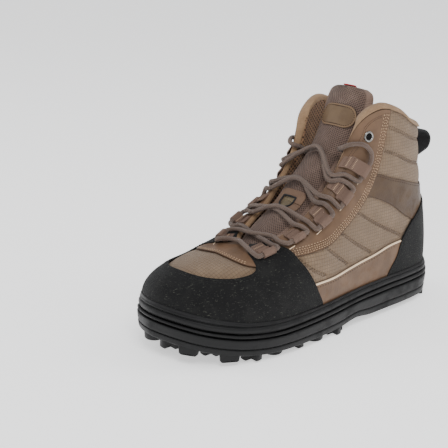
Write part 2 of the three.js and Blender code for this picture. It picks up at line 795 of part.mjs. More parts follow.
const toeRib = ribs.length - 1;
const barWing = 12.1;
const wingShare = 0.9;
function lacesSolid() {
  const overWing = (u) => skin(u, wingShare, edgeLift + guardThick);
  const turn = (side) => loopEnd(frames[side][0], -1, laceTurn);
  const bar = [overWing(mirrored(barWing)), skin(toeRib, edgeShare, edgeLift), overWing(barWing)];
  const outer = [loopEnd(frames.inner[0], -1, 0), turn('inner'), ...bar, turn('outer'), ...climb('outer')];
  const inner = [loopEnd(frames.inner[0], -1, laceTurn / 2), ...climb('inner')];
  return lace(outer).add(lace(inner));
}

// The lace's two ends, over the throat's edge and down beside the tongue
const endRows = {
  lace_end_lateral: [
    [-37, 44.3, 155], [-29, 42.2, 162.5], [-19.5, 36, 162.8], [-15, 30.8, 160], [-17, 25.6, 157.6],
    [-23.5, 23.9, 154.8], [-31, 26.8, 150], [-37, 28.4, 143],
  ],
  lace_end_medial: [
    [-37, -43, 147], [-29, -41.5, 154.5], [-19, -36, 155], [-14, -30.4, 153.2], [-16, -25.4, 151.5],
    [-21.5, -25, 149.5], [-30, -26.5, 144], [-37, -27.6, 137],
  ],
};
function laceEndSolid(frame, rows) {
  const start = loopEnd(frame, 1, 2 * fitGap);
  const lead = loopEnd(frame, 1, laceWide);
  return lace([start, lead, ...rows.map((row) => new THREE.Vector3(...row))]);
}

// Pull loop: a band that lies on the heel's back line and swings out behind it. 'out' is a share of the
// loop's reach and 'fall' of the way from its upper to its lower seam.
const pullLow = 0.735;
const pullHigh = 0.925;
const pullSteps = 14;
const pullSwing = named(['out', 'fall'], [
  [0.35, 0.02],
  [0.75, 0.12],
  [0.97, 0.38],
  [0.90, 0.66],
  [0.60, 0.82],
  [0.30, 0.93],
]);
function pullLoopSolid() {
  const backLine = steps(3, pullHigh, pullLow).map((v) => skin(0, v, fitGap));
  const [top, foot] = [backLine[0], backLine.at(-1)];
  const seamX = mix(top.x, foot.x, 0.5);
  const swing = pullSwing.map(({ out, fall }) => (
    new THREE.Vector3(seamX - pullReach * out, 0, mix(top.z, foot.z, fall))
  ));
  const curve = new THREE.CatmullRomCurve3([top, ...swing, foot]);
  const outer = [...backLine.slice(1, -1).reverse(), ...curve.getPoints(pullSteps)];
  const middle = new THREE.Box3().setFromPoints(outer).getCenter(new THREE.Vector3());
  const inner = outer.map((place, k) => {
    const next = outer[(k + 1) % outer.length];
    const before = outer[(k + outer.length - 1) % outer.length];
    const inward = new THREE.Vector3(next.z - before.z, 0, before.x - next.x).normalize();
    if (inward.dot(middle.clone().sub(place)) < 0) inward.negate();
    return place.clone().addScaledVector(inward, pullThick);
  });
  const sides = [-pullWide / 2, pullWide / 2];
  return loft(outer.map((place, k) => [
    ...sides.map((y) => place.clone().setY(y)),
    ...[...sides].reverse().map((y) => inner[k].clone().setY(y)),
  ]));
}

// The boot

const finishes = {
  rubber: { color: 0x1d1d1f, roughness: 0.6 },
  suede: { color: 0x1a1b1a, roughness: 0.9 },
  fabric: { color: 0x9c8068, roughness: 0.85 },
  leather: { color: 0x86684c, roughness: 0.6 },
  mesh: { color: 0x6f5a51, roughness: 0.95 },
  footbed: { color: 0x2c2b2a, roughness: 0.95 },
  lace: { color: 0x7b685d, roughness: 0.9 },
  webbing: { color: 0x8a6a5d, roughness: 0.85 },
  metal: { color: 0xb8b8b8, roughness: 0.3, metalness: 1 },
  black_webbing: { color: 0x161616, roughness: 0.9 },
  red: { color: 0x9c2a2c, roughness: 0.8 },
};

const boot = new THREE.Group();
function add(name, solid, finish) {
  const mesh = new THREE.Mesh(geometryOf(solid), new THREE.MeshStandardMaterial(finishes[finish]));
  mesh.name = name;
  boot.add(mesh);
}

const bores = wasm.Manifold.union(Object.values(eyelets).map(eyeletBore));
const guardShell = overlayShell(guardThick);
const facingShell = overlayShell(facingThick);
const innerStay = flip(stayRegion);

const panelCovers = [capRegion, counterRegion];
const stay = (region) => overlay(facingShell, region, [capRegion]).subtract(bores);
const panel = (region) => overlay(facingShell, region, panelCovers).subtract(bores);

add('outsole', outsoleSolid(), 'rubber');
add('midsole', midsoleSolid(), 'rubber');
add('insole', insoleSolid(), 'footbed');
add('upper', upperSolid().subtract(bores), 'fabric');
add('tongue', tongueSolid(), 'mesh');
add('toe_cap', overlay(guardShell, capRegion, []), 'suede');
add('heel_counter', overlay(guardShell, counterRegion, []), 'suede');
add('vamp_plate', overlay(facingShell, plateRegion, [capRegion]), 'leather');
add('eyestay_lateral', stay(stayRegion), 'leather');
add('eyestay_medial', stay(innerStay), 'leather');
add('side_panel_lateral', panel(panelRegion), 'leather');
add('side_panel_medial', panel(flip(panelRegion)), 'leather');
add('ankle_band', overlay(facingShell, bandRegion, [counterRegion, stayRegion, innerStay]), 'leather');
add('tongue_patch', tonguePatch(roundedShape(patchWide, patchHigh, patchCorner), patchAt), 'leather');
add('lace_keeper', tonguePatch(keeperShape(), keeperAt), 'webbing');
add('tongue_top_tab', topTabSolid(), 'red');
Object.entries(eyelets).forEach(([name, spot]) => add(name, eyeletSolid(spot), 'metal'));
frames.outer.forEach((frame, k) => add(`tab_lateral_${k + 1}`, tabSolid(frame), 'webbing'));
frames.inner.forEach((frame, k) => add(`tab_medial_${k + 1}`, tabSolid(frame), 'webbing'));
add('laces', lacesSolid(), 'lace');
add('lace_end_lateral', laceEndSolid(frames.outer.at(-1), endRows.lace_end_lateral), 'lace');
add('lace_end_medial', laceEndSolid(frames.inner.at(-1), endRows.lace_end_medial), 'lace');
add('pull_loop', pullLoopSolid(), 'black_webbing');

// The origin goes to the middle of the footprint
const extent = new THREE.Box3().setFromObject(boot);
boot.position.set(-(extent.min.x + extent.max.x) / 2, -(extent.min.y + extent.max.y) / 2, -extent.min.z);

export default boot;
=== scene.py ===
import math
from functools import lru_cache

import bmesh
import bpy
from mathutils import Matrix, Vector, kdtree


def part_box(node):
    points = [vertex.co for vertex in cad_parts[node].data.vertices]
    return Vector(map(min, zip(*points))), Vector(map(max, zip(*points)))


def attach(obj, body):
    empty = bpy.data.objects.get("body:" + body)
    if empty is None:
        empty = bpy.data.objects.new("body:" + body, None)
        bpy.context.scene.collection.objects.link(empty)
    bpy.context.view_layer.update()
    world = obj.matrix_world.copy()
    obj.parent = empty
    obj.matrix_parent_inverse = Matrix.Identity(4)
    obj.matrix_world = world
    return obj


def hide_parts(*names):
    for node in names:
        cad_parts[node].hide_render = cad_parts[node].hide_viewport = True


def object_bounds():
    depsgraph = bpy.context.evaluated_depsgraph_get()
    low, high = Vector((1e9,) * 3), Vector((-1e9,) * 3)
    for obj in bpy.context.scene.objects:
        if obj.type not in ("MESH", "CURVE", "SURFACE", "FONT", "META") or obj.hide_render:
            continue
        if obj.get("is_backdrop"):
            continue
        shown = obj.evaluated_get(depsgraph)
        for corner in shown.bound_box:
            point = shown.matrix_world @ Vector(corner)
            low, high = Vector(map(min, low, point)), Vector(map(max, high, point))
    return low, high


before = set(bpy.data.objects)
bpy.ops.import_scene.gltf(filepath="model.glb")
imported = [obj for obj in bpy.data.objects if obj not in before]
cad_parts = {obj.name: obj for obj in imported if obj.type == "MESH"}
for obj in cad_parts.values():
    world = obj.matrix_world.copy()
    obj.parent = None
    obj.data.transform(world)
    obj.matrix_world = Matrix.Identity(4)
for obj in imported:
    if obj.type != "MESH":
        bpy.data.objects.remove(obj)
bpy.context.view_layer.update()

# A left wading boot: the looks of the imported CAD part. Lengths are millimetres until place() puts them
# in the frame; +X is the toe, +Y the outer side.
scene = bpy.context.scene

# The last, as in the part
sole = {
    "length": 318, "width": 121, "inset": 6.5,
    "heelPlatform": 33, "ballPlatform": 30, "toePlatform": 44,
    "bandHeel": 5, "bandBall": 6.8, "bandToe": 7.3, "heelTo": 0.25, "ballAt": 0.72,
    "lugHeight": 5, "toeLift": 13.2, "archRise": 2.5, "archFrom": 0.34, "archTo": 0.5,
    "rimHeight": 3,
}
upper = {
    "collarHeight": 196, "innerCollar": 0.985, "wall": 2.6, "collarPad": 7,
    "padRise": (0.55, 0.8), "padEnd": (6, 7.4),
}

# at, outer, inner, topAt, topHalf, topHigh, rise, flare, leanX, leanY, leanZ
ribRows = [
    [0.000, 0.000, 0.000, 0.090, 0.000, 0.860, 0.34, 0.022, 0.95, 1.00, 0.62],
    [0.022, 0.180, 0.185, 0.106, 0.150, 0.858, 0.34, 0.020, 0.95, 0.95, 0.62],
    [0.085, 0.308, 0.315, 0.152, 0.275, 0.866, 0.33, 0.015, 0.95, 0.95, 0.62],
    [0.180, 0.357, 0.362, 0.212, 0.335, 0.902, 0.32, 0.015, 0.90, 0.90, 0.62],
    [0.280, 0.378, 0.352, 0.272, 0.352, 0.958, 0.31, 0.016, 0.85, 0.88, 0.62],
    [0.375, 0.398, 0.335, 0.342, 0.330, 0.985, 0.30, 0.018, 0.80, 0.85, 0.62],
    [0.460, 0.428, 0.337, 0.406, 0.285, 0.930, 0.28, 0.020, 0.72, 0.62, 0.64],
    [0.545, 0.463, 0.376, 0.438, 0.240, 0.800, 0.26, 0.022, 0.66, 0.52, 0.66],
    [0.625, 0.486, 0.430, 0.484, 0.225, 0.670, 0.27, 0.024, 0.62, 0.46, 0.70],
    [0.705, 0.494, 0.482, 0.544, 0.212, 0.556, 0.30, 0.026, 0.58, 0.44, 0.74],
    [0.790, 0.475, 0.505, 0.614, 0.192, 0.476, 0.36, 0.026, 0.54, 0.44, 0.78],
    [0.875, 0.410, 0.478, 0.666, 0.155, 0.437, 0.46, 0.030, 0.50, 0.46, 0.82],
    [0.955, 0.250, 0.375, 0.702, 0.080, 0.418, 0.58, 0.034, 0.48, 0.46, 0.87],
    [1.000, -0.075, 0.075, 0.712, -0.010, 0.412, 0.62, 0.034, 0.48, 0.46, 0.90],
]
ribCount = len(ribRows)
loopRows = ribRows + ribRows[-2:0:-1]
loopCount = len(loopRows)


def ringColumn(outerKey, innerKey, size, shift=0.0, innerSign=1):
    outerPart = [(row[outerKey] + shift) * size for row in loopRows[:ribCount]]
    innerPart = [(innerSign * row[innerKey] + shift) * size for row in loopRows[ribCount:]]
    return outerPart + innerPart


ring = {
    "footX": ringColumn(0, 0, sole["length"], -0.5),
    "footY": ringColumn(1, 2, sole["width"], innerSign=-1),
    "topX": ringColumn(3, 3, sole["length"], -0.5),
    "topY": ringColumn(4, 4, sole["width"], innerSign=-1),
    "topZ": ringColumn(5, 5, upper["collarHeight"], innerSign=upper["innerCollar"]),
    "flare": ringColumn(7, 7, sole["width"]),
    "rise": ringColumn(6, 6, 1),
    "leanX": ringColumn(8, 8, 1),
    "leanY": ringColumn(9, 9, 1),
    "leanZ": ringColumn(10, 10, 1),
}


def mirrored(u):
    return loopCount - u


def mix(a, b, share):
    return a + (b - a) * share


def clamp(value, low=0.0, high=1.0):
    return min(max(value, low), high)


def rampUp(value, low, high):  # smoothstep
    share = clamp((value - low) / (high - low))
    return share * share * (3 - 2 * share)


def through(values, at, closed=False):
    # A smooth curve through numbers or points, at a fractional row
    count = len(values)
    row = math.floor(at) if closed else min(max(math.floor(at), 0), count - 2)
    share = at - row
    if closed:
        a, b, c, d = (values[(row + k) % count] for k in (-1, 0, 1, 2))
    else:
        a, b, c, d = (values[min(max(row + k, 0), count - 1)] for k in (-1, 0, 1, 2))
    bend = (3 * (b - c) + d - a) * share
    return b + (c - a + (2 * a - 5 * b + 4 * c - d + bend) * share) * (0.5 * share)


def soleShare(x):
    return x / sole["length"] + 0.5


def alongSole(x, heel, ball, toe):  # level under the heel, sloped to the ball, curved up to the toe
    t = soleShare(x)
    if t > sole["ballAt"]:
        return ball + (toe - ball) * ((t - sole["ballAt"]) / 0.28) ** 2
    return mix(heel, ball, clamp((t - sole["heelTo"]) / 0.47))


def platform(x):
    return alongSole(x, sole["heelPlatform"], sole["ballPlatform"], sole["toePlatform"])


def outsoleTop(x):
    return platform(x) - alongSole(x, sole["bandHeel"], sole["bandBall"], sole["bandToe"])


def lugTip(x):
    return alongSole(x, 0, 0, sole["toeLift"])


def treadBase(x):
    span = clamp((soleShare(x) - sole["archFrom"]) / (sole["archTo"] - sole["archFrom"]))
    return lugTip(x) + sole["lugHeight"] + sole["archRise"] * math.sin(math.pi * span) ** 2


tiny = 1e-3  # step for slopes, in shares of u, v and s


@lru_cache(maxsize=None)
def outward(u):
    dx = through(ring["footX"], u + tiny, True) - through(ring["footX"], u - tiny, True)
    dy = through(ring["footY"], u + tiny, True) - through(ring["footY"], u - tiny, True)
    return Vector((-dy, dx, 0)).normalized()


def outline(u, inset, height=None):
    foot = Vector((through(ring["footX"], u, True), through(ring["footY"], u, True), 0))
    foot -= outward(u) * inset
    foot.z = height(foot.x) if callable(height) else (height or 0)
    return foot


@lru_cache(maxsize=None)
def ribCurve(u):
    foot = outline(u, sole["inset"], platform)
    values = {key: through(ring[key], u, True) for key in ring}
    top = Vector((values["topX"], values["topY"], values["topZ"]))
    bulge = foot + outward(u) * values["flare"]
    bulge.z = mix(foot.z, top.z, values["rise"])
    shoulder = Vector((
        mix(foot.x, top.x, values["leanX"]),
        mix(foot.y, top.y, values["leanY"]),
        mix(foot.z, top.z, values["leanZ"]),
    ))
    return foot, bulge, shoulder, top


def last(u, v):
    # The outside of the upper's wall: u round the ribs, v from the sole to the top edge
    foot, bulge, shoulder, top = ribCurve(round(u % loopCount, 7))
    w = 1 - v
    return foot * w ** 3 + bulge * (3 * v * w * w) + shoulder * (3 * v * v * w) + top * v ** 3


def slopes(u, v):
    around = (last(u + tiny, v) - last(u - tiny, v)) / (2 * tiny)
    return around, (last(u, v + tiny) - last(u, v - tiny)) / (2 * tiny)


def lastNormal(u, v):
    around, up = slopes(u, v)
    return up.cross(around).normalized()


def skin(u, v, off):
    return last(u, v) + lastNormal(u, v) * off


def wallAt(u, v):
    # Thin below, padded round the collar, thin again down the throat
    fromHeel = min(u % loopCount, mirrored(u % loopCount))
    padded = rampUp(v, *upper["padRise"]) * (1 - rampUp(fromHeel, *upper["padEnd"]))
    return mix(upper["wall"], upper["collarPad"], padded)


# The part's own shift to the middle of its footprint, read back from the frame
soleLow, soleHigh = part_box("outsole")
shift = Vector((
    (soleLow.x + soleHigh.x) * 500,
    soleHigh.y * 1000 - max(outline(k / 2, 0).y for k in range(2 * loopCount)),
    0,
))


def place(point):
    return (point + shift) / 1000


print("scene: last ready, shift", [round(x, 2) for x in shift])

# Camera, floor and light
view = {
    "turn": 41.628, "rise": 16.264, "roll": 1.501, "distance": 900,
    "focal": 1093.84, "frame": 448, "sensor": 36, "target": (89.76, 0, 103.068),
}


def buildCamera():
    turn, rise, roll = (math.radians(view[key]) for key in ("turn", "rise", "roll"))
    back = Vector((math.sin(turn) * math.cos(rise), math.cos(turn) * math.cos(rise), math.sin(rise)))
    right = Vector((-math.cos(turn), math.sin(turn), 0))
    up = back.cross(right)
    across = right * math.cos(roll) + up * math.sin(roll)
    upright = up * math.cos(roll) - right * math.sin(roll)
    lens = bpy.data.cameras.new("photoCamera")
    lens.sensor_width = view["sensor"]
    lens.lens = view["sensor"] * view["focal"] / view["frame"]
    lens.clip_start = 0.02
    camera = bpy.data.objects.new("photoCamera", lens)
    turned = Matrix((across, upright, back)).transposed().to_4x4()
    turned.translation = place(Vector(view["target"]) + back * view["distance"])
    camera.matrix_world = turned
    scene.collection.objects.link(camera)
    scene.camera = camera


buildCamera()

studio = {
    "floor": (0.95, 0.95, 0.95), "floorGlow": 0.8, "floorRoughness": 0.85, "floorReach": 6,
    "world": (0.97, 0.98, 1.0), "worldStrength": 0.7,
    "lamps": [  # place, aim, size, watts
        ((0.7, 1.0, 1.5), (0.05, 0.0, 0.08), 0.9, 18),
        ((0.9, -1.1, 1.1), (0.05, 0.0, 0.1), 1.0, 6),
        ((-1.2, 0.7, 1.2), (-0.05, 0.0, 0.1), 1.0, 8),
    ],
}


def buildStudio():
    work = bmesh.new()
    bmesh.ops.create_grid(work, x_segments=8, y_segments=8, size=studio["floorReach"])
    mesh = bpy.data.meshes.new("paleFloor")
    work.to_mesh(mesh)
    work.free()
    floor = bpy.data.objects.new("paleFloor", mesh)
    scene.collection.objects.link(floor)
    floor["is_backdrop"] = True
    finish = bpy.data.materials.new("paleFloor")
    finish.use_nodes = True
    shader = finish.node_tree.nodes["Principled BSDF"]
    shader.inputs["Base Color"].default_value = (*studio["floor"], 1)
    shader.inputs["Roughness"].default_value = studio["floorRoughness"]
    shader.inputs["Emission Color"].default_value = (1, 1, 1, 1)
    shader.inputs["Emission Strength"].default_value = studio["floorGlow"]
    mesh.materials.append(finish)
    world = bpy.data.worlds.new("studioWorld")
    world.use_nodes = True
    sky = world.node_tree.nodes["Background"]
    sky.inputs["Color"].default_value = (*studio["world"], 1)
    sky.inputs["Strength"].default_value = studio["worldStrength"]
    scene.world = world
    for index, (spot, aim, size, watts) in enumerate(studio["lamps"]):
        light = bpy.data.lights.new(f"softLamp{index}", "AREA")
        light.shape = "DISK"
        light.size = size
        light.energy = watts
        lamp = bpy.data.objects.new(f"softLamp{index}", light)
        lamp.location = spot
        lamp.rotation_euler = (Vector(aim) - Vector(spot)).to_track_quat("-Z", "Y").to_euler()
        scene.collection.objects.link(lamp)


buildStudio()
print("scene: camera, floor and light")

# Node helpers and the effects that finishes share


def paint(red, green, blue):  # a colour as a painter's 0 to 255 numbers
    def linear(value):
        share = value / 255
        return share / 12.92 if share < 0.04045 else ((share + 0.055) / 1.055) ** 2.4
    return (linear(red), linear(green), linear(blue), 1)


def put(tree, kind, inputs=None, **settings):
    made = tree.nodes.new(kind)
    for key, value in settings.items():
        setattr(made, key, value)
    for key, value in (inputs or {}).items():
        if isinstance(value, bpy.types.NodeSocket):
            tree.links.new(value, made.inputs[key])
        else:
            made.inputs[key].default_value = value
    return made


def sums(tree, operation, *values):
    return put(tree, "ShaderNodeMath", dict(enumerate(values)), operation=operation).outputs[0]


def blendColours(tree, share, first, second, kind="MIX"):
    made = put(tree, "ShaderNodeMix", {0: share, 6: first, 7: second}, data_type="RGBA", blend_type=kind)
    return made.outputs[2]


def spread(tree, value, low, high, start=0.0, end=1.0):
    inputs = {"Value": value, "From Min": low, "From Max": high, "To Min": start, "To Max": end}
    return put(tree, "ShaderNodeMapRange", inputs, interpolation_type="SMOOTHSTEP").outputs[0]


def newGroup(name, inputs, outputs):
    group = bpy.data.node_groups.new(name, "ShaderNodeTree")
    kinds = {"v": "NodeSocketVector", "f": "NodeSocketFloat", "c": "NodeSocketColor"}
    for label, kind in inputs:
        group.interface.new_socket(name=label, in_out="INPUT", socket_type=kinds[kind])
    for label, kind in outputs:
        group.interface.new_socket(name=label, in_out="OUTPUT", socket_type=kinds[kind])
    return group, group.nodes.new("NodeGroupInput").outputs, group.nodes.new("NodeGroupOutput").inputs


def splitUp(tree, vector, size):
    parts = put(tree, "ShaderNodeSeparateXYZ", {0: vector})
    return sums(tree, "DIVIDE", parts.outputs[0], size), sums(tree, "DIVIDE", parts.outputs[1], size)


def shrunk(tree, vector, size):
    scaled = put(tree, "ShaderNodeVectorMath", {0: vector}, operation="SCALE")
    tree.links.new(sums(tree, "DIVIDE", 1.0, size), scaled.inputs["Scale"])
    return scaled.outputs[0]


def onTheSlant(tree, vector):
    parts = put(tree, "ShaderNodeSeparateXYZ", {0: vector})
    return [sums(tree, kind, parts.outputs[0], parts.outputs[1]) for kind in ("ADD", "SUBTRACT")]


def noiseOf(tree, vector, scale, detail, **more):
    inputs = {"Vector": vector, "Scale": scale, "Detail": detail, **more}
    return put(tree, "ShaderNodeTexNoise", inputs).outputs[0]


def buildWeave():  # over and under threads of one width
    tree, given, out = newGroup(
        "plainWeave", [("Vector", "v"), ("Thread", "f")], [("Height", "f"), ("Over", "f")])
    x, y = splitUp(tree, given[0], given[1])
    cells = sums(tree, "ADD", sums(tree, "FLOOR", x), sums(tree, "FLOOR", y))
    over = sums(tree, "FLOORED_MODULO", cells, 2.0)
    hills = [
        sums(tree, "SINE", sums(tree, "MULTIPLY", sums(tree, "FRACT", part), math.pi)) for part in (x, y)]
    flat = [sums(tree, "MULTIPLY_ADD", hill, 0.45, 0.55) for hill in hills]
    first = sums(tree, "MULTIPLY", hills[0], flat[1])
    second = sums(tree, "MULTIPLY", hills[1], flat[0])
    turned = sums(tree, "MULTIPLY", over, first)
    other = sums(tree, "MULTIPLY", sums(tree, "SUBTRACT", 1.0, over), second)
    tree.links.new(sums(tree, "ADD", turned, other), out[0])
    tree.links.new(over, out[1])
    return tree


def buildRipstop():  # raised grid lines of a ripstop cloth
    tree, given, out = newGroup(
        "ripstopGrid", [("Vector", "v"), ("Pitch", "f"), ("Line", "f")], [("Line", "f"), ("Cell", "f")])
    x, y = splitUp(tree, given[0], given[1])
    half = sums(tree, "DIVIDE", given[2], given[1])
    near = [sums(tree, "PINGPONG", part, 0.5) for part in (x, y)]
    lines = [spread(tree, part, half, sums(tree, "MULTIPLY", half, 0.35)) for part in near]
    tree.links.new(sums(tree, "MAXIMUM", lines[0], lines[1]), out[0])
    tree.links.new(sums(tree, "MINIMUM", near[0], near[1]), out[1])
    return tree


def buildAirMesh():  # knitted mesh: holes in a diagonal grid
    tree, given, out = newGroup(
        "airMesh", [("Vector", "v"), ("Pitch", "f")], [("Hole", "f"), ("Height", "f")])
    ways = onTheSlant(tree, given[0])
    size = sums(tree, "MULTIPLY", given[1], 1.414)
    near = [
        sums(tree, "SUBTRACT", sums(tree, "FRACT", sums(tree, "DIVIDE", way, size)), 0.5) for way in ways]
    squares = [sums(tree, "MULTIPLY", part, part) for part in near]
    reach = sums(tree, "SQRT", sums(tree, "ADD", squares[0], squares[1]))
    tree.links.new(spread(tree, reach, 0.36, 0.22), out[0])
    tree.links.new(spread(tree, reach, 0.18, 0.48), out[1])
    return tree


def buildGrain():  # fine hide: shallow pebbles and a slow change of shade
    tree, given, out = newGroup(
        "hideGrain", [("Vector", "v"), ("Size", "f")], [("Height", "f"), ("Shade", "f")])
    spot = shrunk(tree, given[0], given[1])
    cells = put(tree, "ShaderNodeTexVoronoi", {"Vector": spot, "Scale": 1.0}, feature="SMOOTH_F1")
    noise = noiseOf(tree, spot, 0.6, 4.0)
    slow = noiseOf(tree, given[0], 0.06, 3.0)
    hill = sums(tree, "MULTIPLY_ADD", noise, 0.6, sums(tree, "MULTIPLY", cells.outputs[0], -0.7))
    tree.links.new(hill, out[0])
    tree.links.new(spread(tree, slow, 0.3, 0.7), out[1])
    return tree


def buildNap():  # brushed fibres: fine fuzz, lighter scuffs and flecks
    tree, given, out = newGroup(
        "suedeNap", [("Vector", "v")], [("Height", "f"), ("Scuff", "f"), ("Fleck", "f")])
    fine = noiseOf(tree, given[0], 2.4, 3.0, Roughness=0.7)
    wide = noiseOf(tree, given[0], 0.09, 5.0, Roughness=0.6)
    stretch = {"Vector": given[0], "Scale": (0.55, 0.55, 1.9), "Rotation": (0.2, 0.5, 0.4)}
    drawn = put(tree, "ShaderNodeMapping", stretch).outputs[0]
    flecks = noiseOf(tree, drawn, 0.75, 2.5, Roughness=0.65)
    tree.links.new(fine, out[0])
    tree.links.new(spread(tree, wide, 0.42, 0.75), out[1])
    tree.links.new(spread(tree, flecks, 0.60, 0.72), out[2])
    return tree


def buildBraid():  # round braid: strands crossing on the slant, along and round the cord
    tree, given, out = newGroup(
        "cordBraid", [("Vector", "v"), ("Strand", "f")], [("Height", "f"), ("Over", "f")])
    slant = put(tree, "ShaderNodeCombineXYZ", dict(enumerate(onTheSlant(tree, given[0]))))
    weave = put(tree, "ShaderNodeGroup", {}, node_tree=groups["weave"])
    tree.links.new(slant.outputs[0], weave.inputs[0])
    tree.links.new(given[1], weave.inputs[1])
    tree.links.new(weave.outputs[0], out[0])
    tree.links.new(weave.outputs[1], out[1])
    return tree


def buildDust():  # slow cloudy mask with a broken edge, for dust and handling
    tree, given, out = newGroup("dustCloud", [("Vector", "v"), ("Size", "f")], [("Mask", "f")])
    noise = noiseOf(tree, shrunk(tree, given[0], given[1]), 1.0, 6.0, Roughness=0.65)
    tree.links.new(spread(tree, noise, 0.42, 0.72), out[0])
    return tree


groups = {"weave": buildWeave(), "ripstop": buildRipstop(), "mesh": buildAirMesh(), "grain": buildGrain()}
groups.update({"nap": buildNap(), "braid": buildBraid(), "dust": buildDust()})


class Finish:  # one material under construction
    def __init__(self, name, roughness, **plain):
        self.material = bpy.data.materials.new(name)
        self.material.use_nodes = True
        self.tree = self.material.node_tree
        self.shader = self.tree.nodes["Principled BSDF"]
        self.shader.inputs["Roughness"].default_value = roughness
        self.shader.inputs["Specular IOR Level"].default_value = 0.28
        for key, value in plain.items():
            self.shader.inputs[key.replace("_", " ")].default_value = value

    def objectMm(self):
        source = put(self.tree, "ShaderNodeTexCoord").outputs["Object"]
        inputs = {0: source, "Scale": 1000.0}
        return put(self.tree, "ShaderNodeVectorMath", inputs, operation="SCALE").outputs[0]

    def surfaceMm(self):
        return put(self.tree, "ShaderNodeUVMap", uv_map="UVMap").outputs[0]

    def mark(self, name):
        return put(self.tree, "ShaderNodeAttribute", attribute_name=name).outputs["Fac"]

    def use(self, name, *values):
        made = put(self.tree, "ShaderNodeGroup", {}, node_tree=groups[name])
        for key, value in enumerate(values):
            if isinstance(value, bpy.types.NodeSocket):
                self.tree.links.new(value, made.inputs[key])
            else:
                made.inputs[key].default_value = value
        return made.outputs

    def mixed(self, share, first, second, kind="MIX"):
        return blendColours(self.tree, share, first, second, kind)

    def band(self, value, low, high, start=0.0, end=1.0):
        return spread(self.tree, value, low, high, start, end)

    def sum(self, operation, *values):
        return sums(self.tree, operation, *values)

    def bump(self, height, distance):
        inputs = {"Height": height, "Distance": distance / 1000, "Strength": 1.0}
        return put(self.tree, "ShaderNodeBump", inputs).outputs[0]

    def done(self, colour=None, normal=None, roughness=None):
        for key, socket in (("Base Color", colour), ("Normal", normal), ("Roughness", roughness)):
            if socket is not None:
                self.tree.links.new(socket, self.shader.inputs[key])
        return self.material


def paintedEdgeShade(finish, colour, dark, width=0.7):  # painted shade: a dark line along an overlay's edges, where its own thickness shades it
    nearest = finish.sum("MINIMUM", finish.mark("fromLow"), finish.mark("fromHigh"))
    return finish.mixed(finish.band(nearest, width, width * 0.4, 0.0, 0.75), colour, dark)


def rubberFinish():
    finish = Finish("soleRubber", 0.55)
    spot = finish.objectMm()
    cloud = finish.use("dust", spot, 26.0)[0]
    grain = finish.use("grain", spot, 0.8)
    colour = finish.mixed(finish.sum("MULTIPLY", cloud, 0.30), paint(8, 8, 9), paint(28, 28, 28))
    rough = finish.band(cloud, 0, 1, 0.50, 0.75)
    return finish.done(colour, finish.bump(grain[0], 0.10), rough)


def suedeFinish():
    finish = Finish("blackSuede", 0.92, Sheen_Weight=0.04, Sheen_Roughness=0.5)
    spot = finish.objectMm()
    nap = finish.use("nap", spot)
    colour = finish.mixed(finish.sum("MULTIPLY", nap[1], 0.40), paint(12, 12, 13), paint(34, 34, 32))
    colour = finish.mixed(finish.sum("MULTIPLY", nap[2], 0.55), colour, paint(88, 90, 80))
    # painted shade along the guard's edges
    colour = paintedEdgeShade(finish, colour, paint(9, 9, 9), 0.9)
    return finish.done(colour, finish.bump(nap[0], 0.35))


def leatherFinish(name, main, deep):
    finish = Finish(name, 0.5)
    spot = finish.objectMm()
    grain = finish.use("grain", spot, 1.1)
    cloud = finish.use("dust", spot, 9.0)[0]
    colour = finish.mixed(grain[1], deep, main)
    colour = finish.mixed(finish.sum("MULTIPLY", cloud, 0.25), colour, main)
    # painted shade along the overlay's edges
    colour = paintedEdgeShade(finish, colour, paint(62, 44, 32))
    return finish.done(colour, finish.bump(grain[0], 0.16), finish.band(cloud, 0, 1, 0.45, 0.62))


def badgeFinish():
    finish = Finish("badgeLeather", 0.55)
    spot = finish.objectMm()
    grain = finish.use("grain", spot, 0.9)
    cloud = finish.use("dust", spot, 6.0)[0]
    colour = finish.mixed(grain[1], paint(92, 73, 54), paint(106, 86, 64))
    colour = finish.mixed(finish.band(finish.mark("rim"), 0.86, 0.92, 0.0, 0.8), colour, paint(126, 101, 76))
    # painted shade: the outermost rim darker, like the overlays' shaded edges
    colour = finish.mixed(finish.band(finish.mark("rim"), 0.96, 1.0, 0.0, 0.7), colour, paint(54, 40, 31))
    return finish.done(colour, finish.bump(grain[0], 0.14), finish.band(cloud, 0, 1, 0.5, 0.68))


def ripstopFinish():
    finish = Finish("ripstopCloth", 0.7, Sheen_Weight=0.15)
    spot = finish.surfaceMm()
    grid = finish.use("ripstop", spot, 3.0, 0.36)
    weave = finish.use("weave", spot, 0.5)
    seam = finish.mark("seam")
    cloud = finish.use("dust", finish.objectMm(), 18.0)[0]
    colour = finish.mixed(cloud, paint(124, 102, 79), paint(140, 117, 92))
    colour = finish.mixed(finish.sum("MULTIPLY", grid[0], 0.55), colour, paint(82, 64, 49))
    colour = finish.mixed(finish.sum("MULTIPLY", weave[1], 0.18), colour, paint(98, 79, 62))
    # painted shade: darker along the bottom of each quilting trough, where the seams sink
    colour = finish.mixed(finish.band(seam, 1.3, 0.2, 0.0, 0.6), colour, paint(70, 53, 42))
    height = finish.sum("MULTIPLY_ADD", grid[0], 0.6, finish.sum("MULTIPLY", weave[0], 0.5))
    return finish.done(colour, finish.bump(height, 0.30))


def meshFinish(name, light, dark, hole, pitch):
    finish = Finish(name, 0.85, Sheen_Weight=0.1)
    spot = finish.surfaceMm()
    net = finish.use("mesh", spot, pitch)
    cloud = finish.use("dust", finish.objectMm(), 12.0)[0]
    colour = finish.mixed(cloud, dark, light)
    colour = finish.mixed(finish.sum("MULTIPLY", net[0], 0.85), colour, hole)
    return finish.done(colour, finish.bump(net[1], 0.5))


